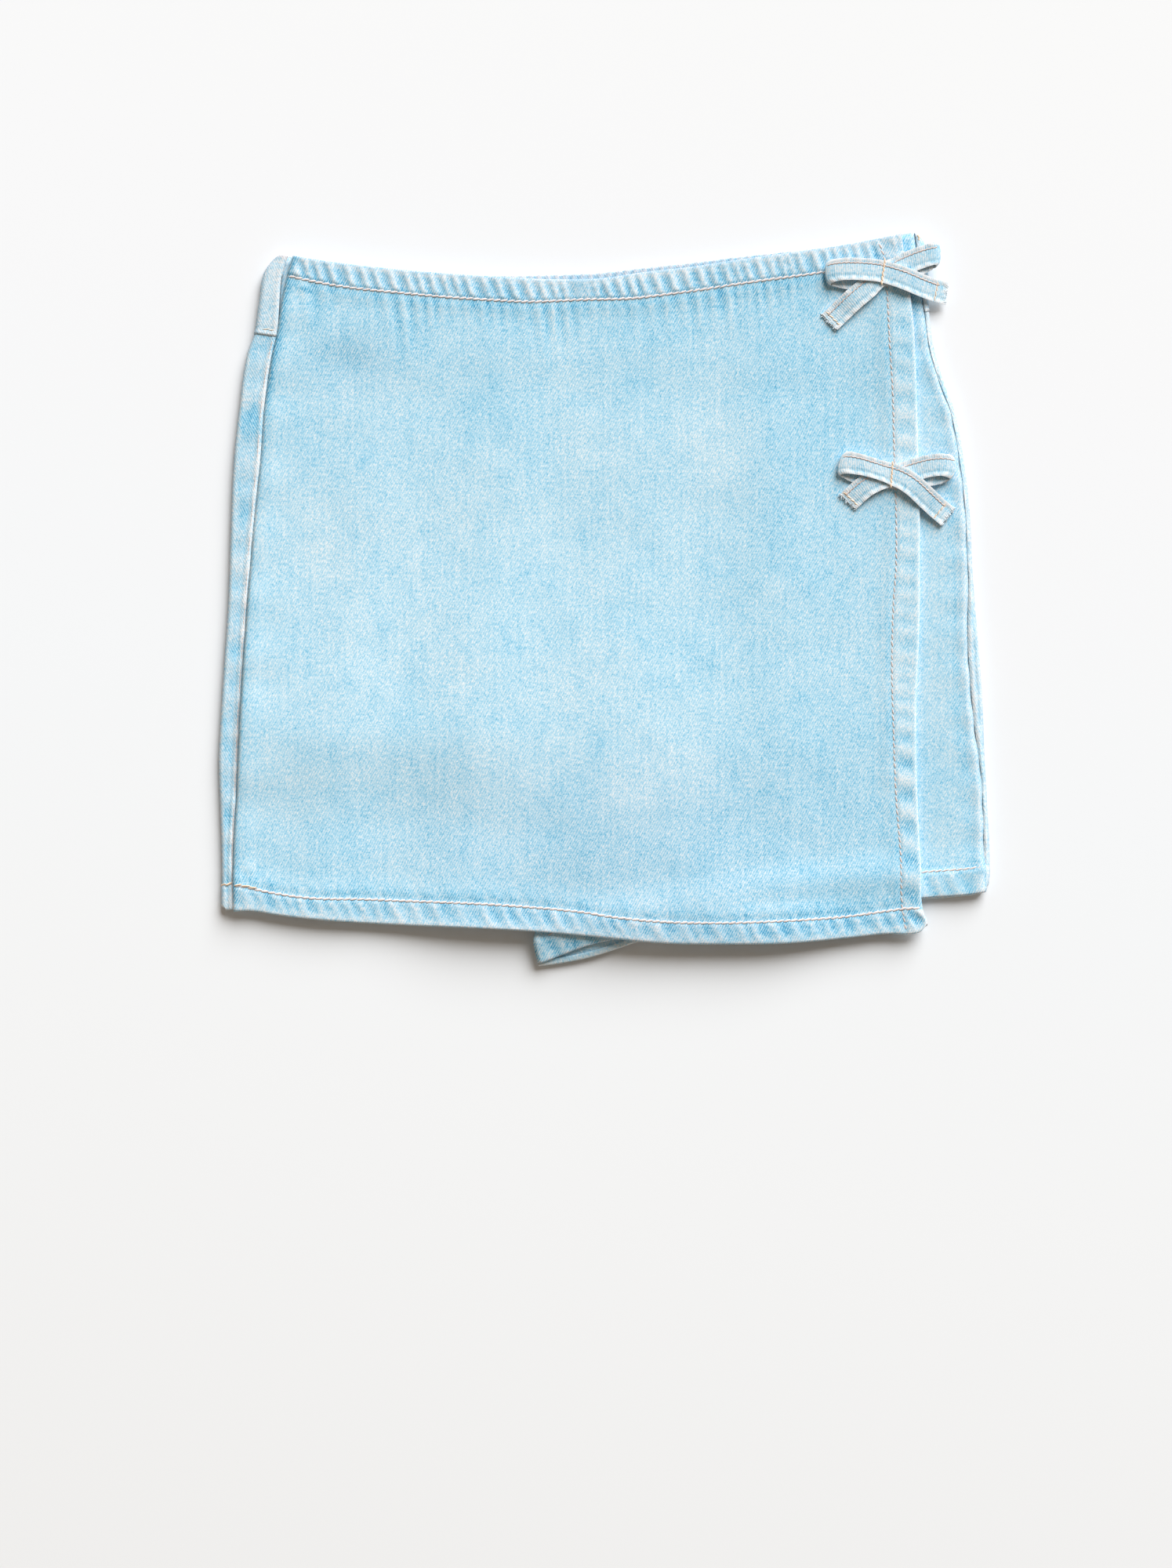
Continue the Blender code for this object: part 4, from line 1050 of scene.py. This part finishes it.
# x and y from the middle of the bow, height above its seat, turn of the width in plan, tilt
bowPaths = {
    "upper": ((126.4, 144.7, 6.6), (
        (-26, -22.2, -0.6, 134, -3), (-21, -17.4, 0.1, 134, -1), (-15.5, -12.2, 1.9, 130, 2),
        (-9, -6.8, 2.3, 124, 0), (-3.5, -2, 2.1, 104, 0), (3, 1.4, 2.1, 100, 0), (9, 4.2, 2.3, 106, 0),
        (15.5, 6.6, 3.1, 98, 0), (20.6, 7.9, 3.3, 92, 0), (22.9, 7.7, 1.9, 88, 0),
        (20.8, 6.4, 0.6, 88, 0), (15, 4, 0.6, 98, 0), (8, 1.2, 0.7, 98, 0), (0, -1.2, 0.7, 92, 0),
        (-8, -2.4, 0.7, 88, 0), (-16, -2.8, 0.5, 92, 0), (-23.5, -2, 0.4, 94, 0),
        (-27.6, -0.8, 1.7, 94, 0), (-26, 0.4, 3.3, 92, 0), (-20, 1.1, 4.3, 90, 0), (-12, 1, 4.3, 86, 0),
        (-4.5, 0.4, 3.6, 84, 0), (2.5, -1.4, 3.6, 76, 0), (8.5, -3.6, 4.1, 72, 0), (15, -6, 1.3, 72, 0),
        (21, -8, -1.1, 78, 3), (26, -9, -3.6, 82, 5))),
    "lower": ((129.7, 54.6, 5.7), (
        (-21, -11.9, 0.2, 138, 3), (-17, -8, 1.5, 132, 2), (-12.6, -4.6, 2.4, 118, 0),
        (-8, -2.2, 2.4, 108, 0), (-3, -0.6, 2.1, 98, 0), (3, 0.6, 2.1, 98, 0), (9, 2.4, 2.5, 104, 0),
        (15.5, 4, 3.5, 98, 0), (22, 4.4, 3.8, 88, 0), (26.2, 3.4, 2.2, 84, 0), (24, 1.8, 0.6, 84, 0),
        (18, 0.4, 0.6, 88, 0), (9, -0.4, 0.7, 90, 0), (0, -1.2, 0.7, 90, 0), (-8, -0.8, 0.7, 84, 0),
        (-15.5, 0.8, 0.6, 78, 0), (-21, 2.6, 0.7, 74, 0), (-25, 4.6, 2.1, 76, 0),
        (-22.6, 5.4, 3.7, 82, 0), (-16, 4.6, 4.3, 96, 0), (-9, 2.6, 4.3, 100, 0), (-3.5, 0.8, 3.6, 92, 0),
        (2.5, -1.4, 3.6, 66, 0), (8, -5, 4.1, 54, 0), (14, -10.4, 2, 48, 0), (19, -14.8, 0.1, 50, -2),
        (23.4, -18.4, -0.8, 52, -3))),
}


def smoothPath(points, steps):
    rows = np.array(points, float)
    padded = np.vstack([rows[0], rows, rows[-1]])
    path = []
    for index in range(len(rows) - 1):
        a, b, c, d = padded[index:index + 4]
        for t in np.arange(0, 1, 1 / steps):
            path.append(b + 0.5 * t * (c - a + t * (2 * a - 5 * b + 4 * c - d + t * (3 * (b - c) + d - a))))
    path.append(rows[-1])
    return np.array(path)


def strapPoints(which, across):
    # Places along the strap, at shares across its width, and the distance along it
    s = bowSettings
    middle, points = bowPaths[which]
    path = smoothPath(points, s["stepsEach"])
    turn, tilt = np.radians(path[:, 3])[:, None], np.radians(path[:, 4])[:, None]
    wide = s["width"] * across[None, :]
    # The ends of the loops are round in plan
    index = np.arange(len(path)) / s["stepsEach"]
    loop = ease(5, 7, index) * fall(19, 21, index) * ease(16, 25, np.abs(path[:, 0]))
    pull = 1 - s["roundEnd"] * loop[:, None] * (2 * np.abs(across[None, :])) ** 4
    x = path[:, 0:1] * pull + middle[0] + wide * np.cos(turn) * np.cos(tilt)
    y = path[:, 1:2] + middle[1] + wide * np.sin(turn) * np.cos(tilt)
    z = s["flatten"] * (path[:, 2:3] + wide * np.sin(tilt)) + middle[2] - s["settle"]
    steps = np.linalg.norm(np.diff(path[:, :3], axis=0), axis=1)
    return x, y, z, np.concatenate([[0], np.cumsum(steps)])[:, None]


def makeBow(which):
    s = bowSettings
    across = np.sin(np.linspace(-0.5, 0.5, s["across"] + 1) * math.pi) * 0.5
    x, y, z, along = strapPoints(which, across)
    wide = s["width"] * across[None, :] + 0 * along
    fromEdge = s["width"] / 2 - np.abs(wide)
    fromEnd = np.minimum(along, along[-1] - along) + 0 * wide
    fine = rough(along, wide, 2.2, 123)
    ripple = cosWave(warped(along + 0.4 * wide, 6, 1.6, 121) / 5.2)
    rim = bump(fromEdge - 0.5, 0.7)
    # Ragged raw ends
    ragged = 0.55 * rough(np.sign(along - along[-1] / 2) * 20, wide, 1.3, 125)
    reach = ragged * fall(0, 3, fromEnd)
    way = np.gradient(x, axis=0), np.gradient(y, axis=0)
    size = np.hypot(*way) * np.where(along > along[-1] / 2, 1, -1)
    x, y = x + reach * way[0] / size, y + reach * way[1] / size
    z += 0.1 * ripple * bump(fromEdge, 1.6) + 0.12 * rim - 0.14 * bump(fromEdge - s["stitchIn"], 0.5)
    worn = (0.9 * bump(fromEdge - 0.3, 0.8) + 0.2 * bump(fromEdge - 1.6, 0.8)) * (0.9 + 0.6 * fine)
    worn += 0.25 * np.maximum(ripple, 0) * bump(fromEdge, 2.5) + 0.6 * fall(0, 2.4, fromEnd)
    deep = 0.35 * np.maximum(-ripple, 0) * bump(fromEdge - 1.5, 1.5) + 0.3 * bump(fromEdge - 2.6, 0.6)
    deep += 0.4 * ease(0, 0.6, rough(along, wide, 6, 127)) * (1 - bump(fromEdge, 1.6))
    values = looks(worn, deep, 0.2 + 0.2 * bump(fromEdge, 0.5)) | {"alongStrap": along, "acrossStrap": wide}
    piece = clothPiece(f"bow_{which}_strap", f"bow_{which}", "denim_strap", denimStrap, x, y, z, values,
                       wall=s["wall"])
    piece.modifiers["wall"].offset = 0
    return piece


def strapRow(name, which, first, last, across, finish, **ways):
    # Stitches along the strap between two of its path's points, or across it where both are one point
    s = bowSettings
    points = np.stack(strapPoints(which, np.array(across))[:3], axis=-1)
    steps, share = np.linspace(first, last, 60) * s["stepsEach"], np.linspace(0, 1, 60)
    line = []
    for axis in range(3):
        left, right = (np.interp(steps, np.arange(len(points)), points[:, side, axis]) for side in (0, 1))
        line.append(left + (right - left) * share)
    return stitchRow(name, line[0], line[1], line[2] + s["wall"] / 2 + 0.05, finish, "denim_strap", **ways)


def makeFrays(which):
    # Loose threads of the raw ends, each bent once
    s = bowSettings
    chance = random.Random(which)
    places = placed(*strapPoints(which, np.linspace(-0.48, 0.48, 25))[:3])
    mesh = bmesh.new()

    def stray(*ranges):
        return Vector([chance.uniform(*span) for span in ranges])

    for end, before in ((0, 3), (-1, -4)):
        for _ in range(s["frays"]):
            pick = chance.randrange(places.shape[1])
            at = Vector(places[end, pick])
            way = (at - Vector(places[before, pick])).normalized()
            bend = stray((-0.6, 0.6), (-0.6, 0.6), (-0.25, 0.2))
            at = at - way * chance.uniform(0.3, 1.3) + Vector((0, 0, chance.uniform(-0.3, 0.4)))
            for _ in range(2):
                length = chance.uniform(0.4, 0.85)
                aim = (way + bend).normalized() * length
                matrix = (Matrix.Scale(mm, 4) @ Matrix.Translation(at + aim / 2)
                          @ aim.to_track_quat("Z", "Y").to_matrix().to_4x4())
                bmesh.ops.create_cone(mesh, cap_ends=True, segments=5, radius1=0.2, radius2=0.15,
                                      depth=length + 0.1, matrix=matrix)
                at = at + aim
                bend = bend + stray((-0.5, 0.5), (-0.5, 0.5), (-0.3, 0.1))
    return objectOf(f"bow_{which}_frays", mesh, frayThread, "denim_strap")


bows = {which: makeBow(which) for which in bowPaths}
# Spans of the stitching along the strap, and places of the rows across its tails
for which, tops, tails in (("upper", ((0.3, 3.4), (5, 8.4), (17.6, 25.3)), (0.42, 25.1)),
                           ("lower", ((0.3, 3.2), (5, 9), (17.6, 25.3)), (0.4, 25.2))):
    edge = 0.5 - bowSettings["stitchIn"] / bowSettings["width"]
    trims = []
    for index, span in enumerate(tops):
        trims.append(strapRow(f"bow_{which}_stitches_{index}", which, *span, (edge, edge), pinkThread,
                              pitch=2.05, wide=0.66))
    for index, place in enumerate(tails):
        trims.append(strapRow(f"bow_{which}_cross_{index}", which, place, place, (-0.46, 0.46), peachThread,
                              pitch=2.4, wide=0.6, gap=-0.3))
    trims.append(strapRow(f"bow_{which}_bar", which, 21.3, 21.3, (-0.62, 0.6), peachThread,
                          pitch=1.9, wide=0.85))
    trims + [makeFrays(which)]
print("bows ready")

# Camera: the photograph's frame is 1495 by 2000 pixels of 0.35 mm, seen from straight above
view = {
    "pixel": 0.00035,
    "frame": (1495, 2000),
    "origin": (770, 763.5),
    "distance": 1.5,
    "sensor": 36,
    "clip": (0.05, 20),
}


def makeCamera():
    lens = bpy.data.cameras.new("camera")
    eye = bpy.data.objects.new("camera", lens)
    bpy.context.collection.objects.link(eye)
    lens.sensor_width = view["sensor"]
    lens.lens = view["sensor"] * view["distance"] / (view["frame"][1] * view["pixel"])
    middleX = (view["frame"][0] / 2 - view["origin"][0]) * view["pixel"] - centreShift[0] * mm
    middleY = (view["origin"][1] - view["frame"][1] / 2) * view["pixel"] - centreShift[1] * mm
    eye.location = (middleX, middleY, view["distance"])
    lens.clip_start, lens.clip_end = view["clip"]
    bpy.context.scene.camera = eye


studio = {
    "keyHeight": 34,
    "keyTurn": 27,
    "keySpread": 46,
    "keyStrength": 4.55,
    "keyColour": (0.975, 1, 1.02),
    "floorHeight": -0.0004,
    "fill": (0.225, 0.185, 0.145),
    # Painted light falloff along the floor from its lower end: darker low and to the left, brighter towards
    # the key light at the top right
    "floor": ((0, rgb(238, 239, 240)), (0.3, rgb(243, 245, 247)), (0.52, rgb(245, 248, 251)),
              (0.75, rgb(247, 249, 252)), (1, rgb(248, 250, 252))),
}


def makeStage():
    paint = Finish("floor_painted_falloff")
    x, y, _ = paint.place()
    mesh = bmesh.new()
    bmesh.ops.create_grid(mesh, x_segments=2, y_segments=2, size=3)
    # The floor's colour comes from the ramp, a painted light falloff that is darker low and to the left
    finish = paint.finishWith(paint.ramp(y * 1.25 + x * 0.25 + 0.6, studio["floor"]), 0.85)
    floor = objectOf("floor", mesh, finish)
    floor.location.z = studio["floorHeight"]
    world = bpy.data.worlds.new("studio")
    world.use_nodes = True
    background = world.node_tree.nodes["Background"]
    background.inputs["Color"].default_value = (*studio["fill"], 1)
    background.inputs["Strength"].default_value = 1
    bpy.context.scene.world = world
    # One broad soft window high above the waist side, a little to the right
    lamp = bpy.data.lights.new("key", "SUN")
    lamp.angle = math.radians(studio["keySpread"])
    lamp.energy = studio["keyStrength"]
    lamp.color = studio["keyColour"]
    holder = bpy.data.objects.new("key", lamp)
    height, turn = math.radians(studio["keyHeight"]), math.radians(studio["keyTurn"])
    toLight = Vector((math.cos(height) * math.sin(turn), math.cos(height) * math.cos(turn), math.sin(height)))
    holder.rotation_euler = toLight.to_track_quat("Z", "Y").to_euler()
    bpy.context.collection.objects.link(holder)
    bpy.context.scene.view_settings.view_transform = "Standard"


makeCamera()
makeStage()
print("camera and stage ready")
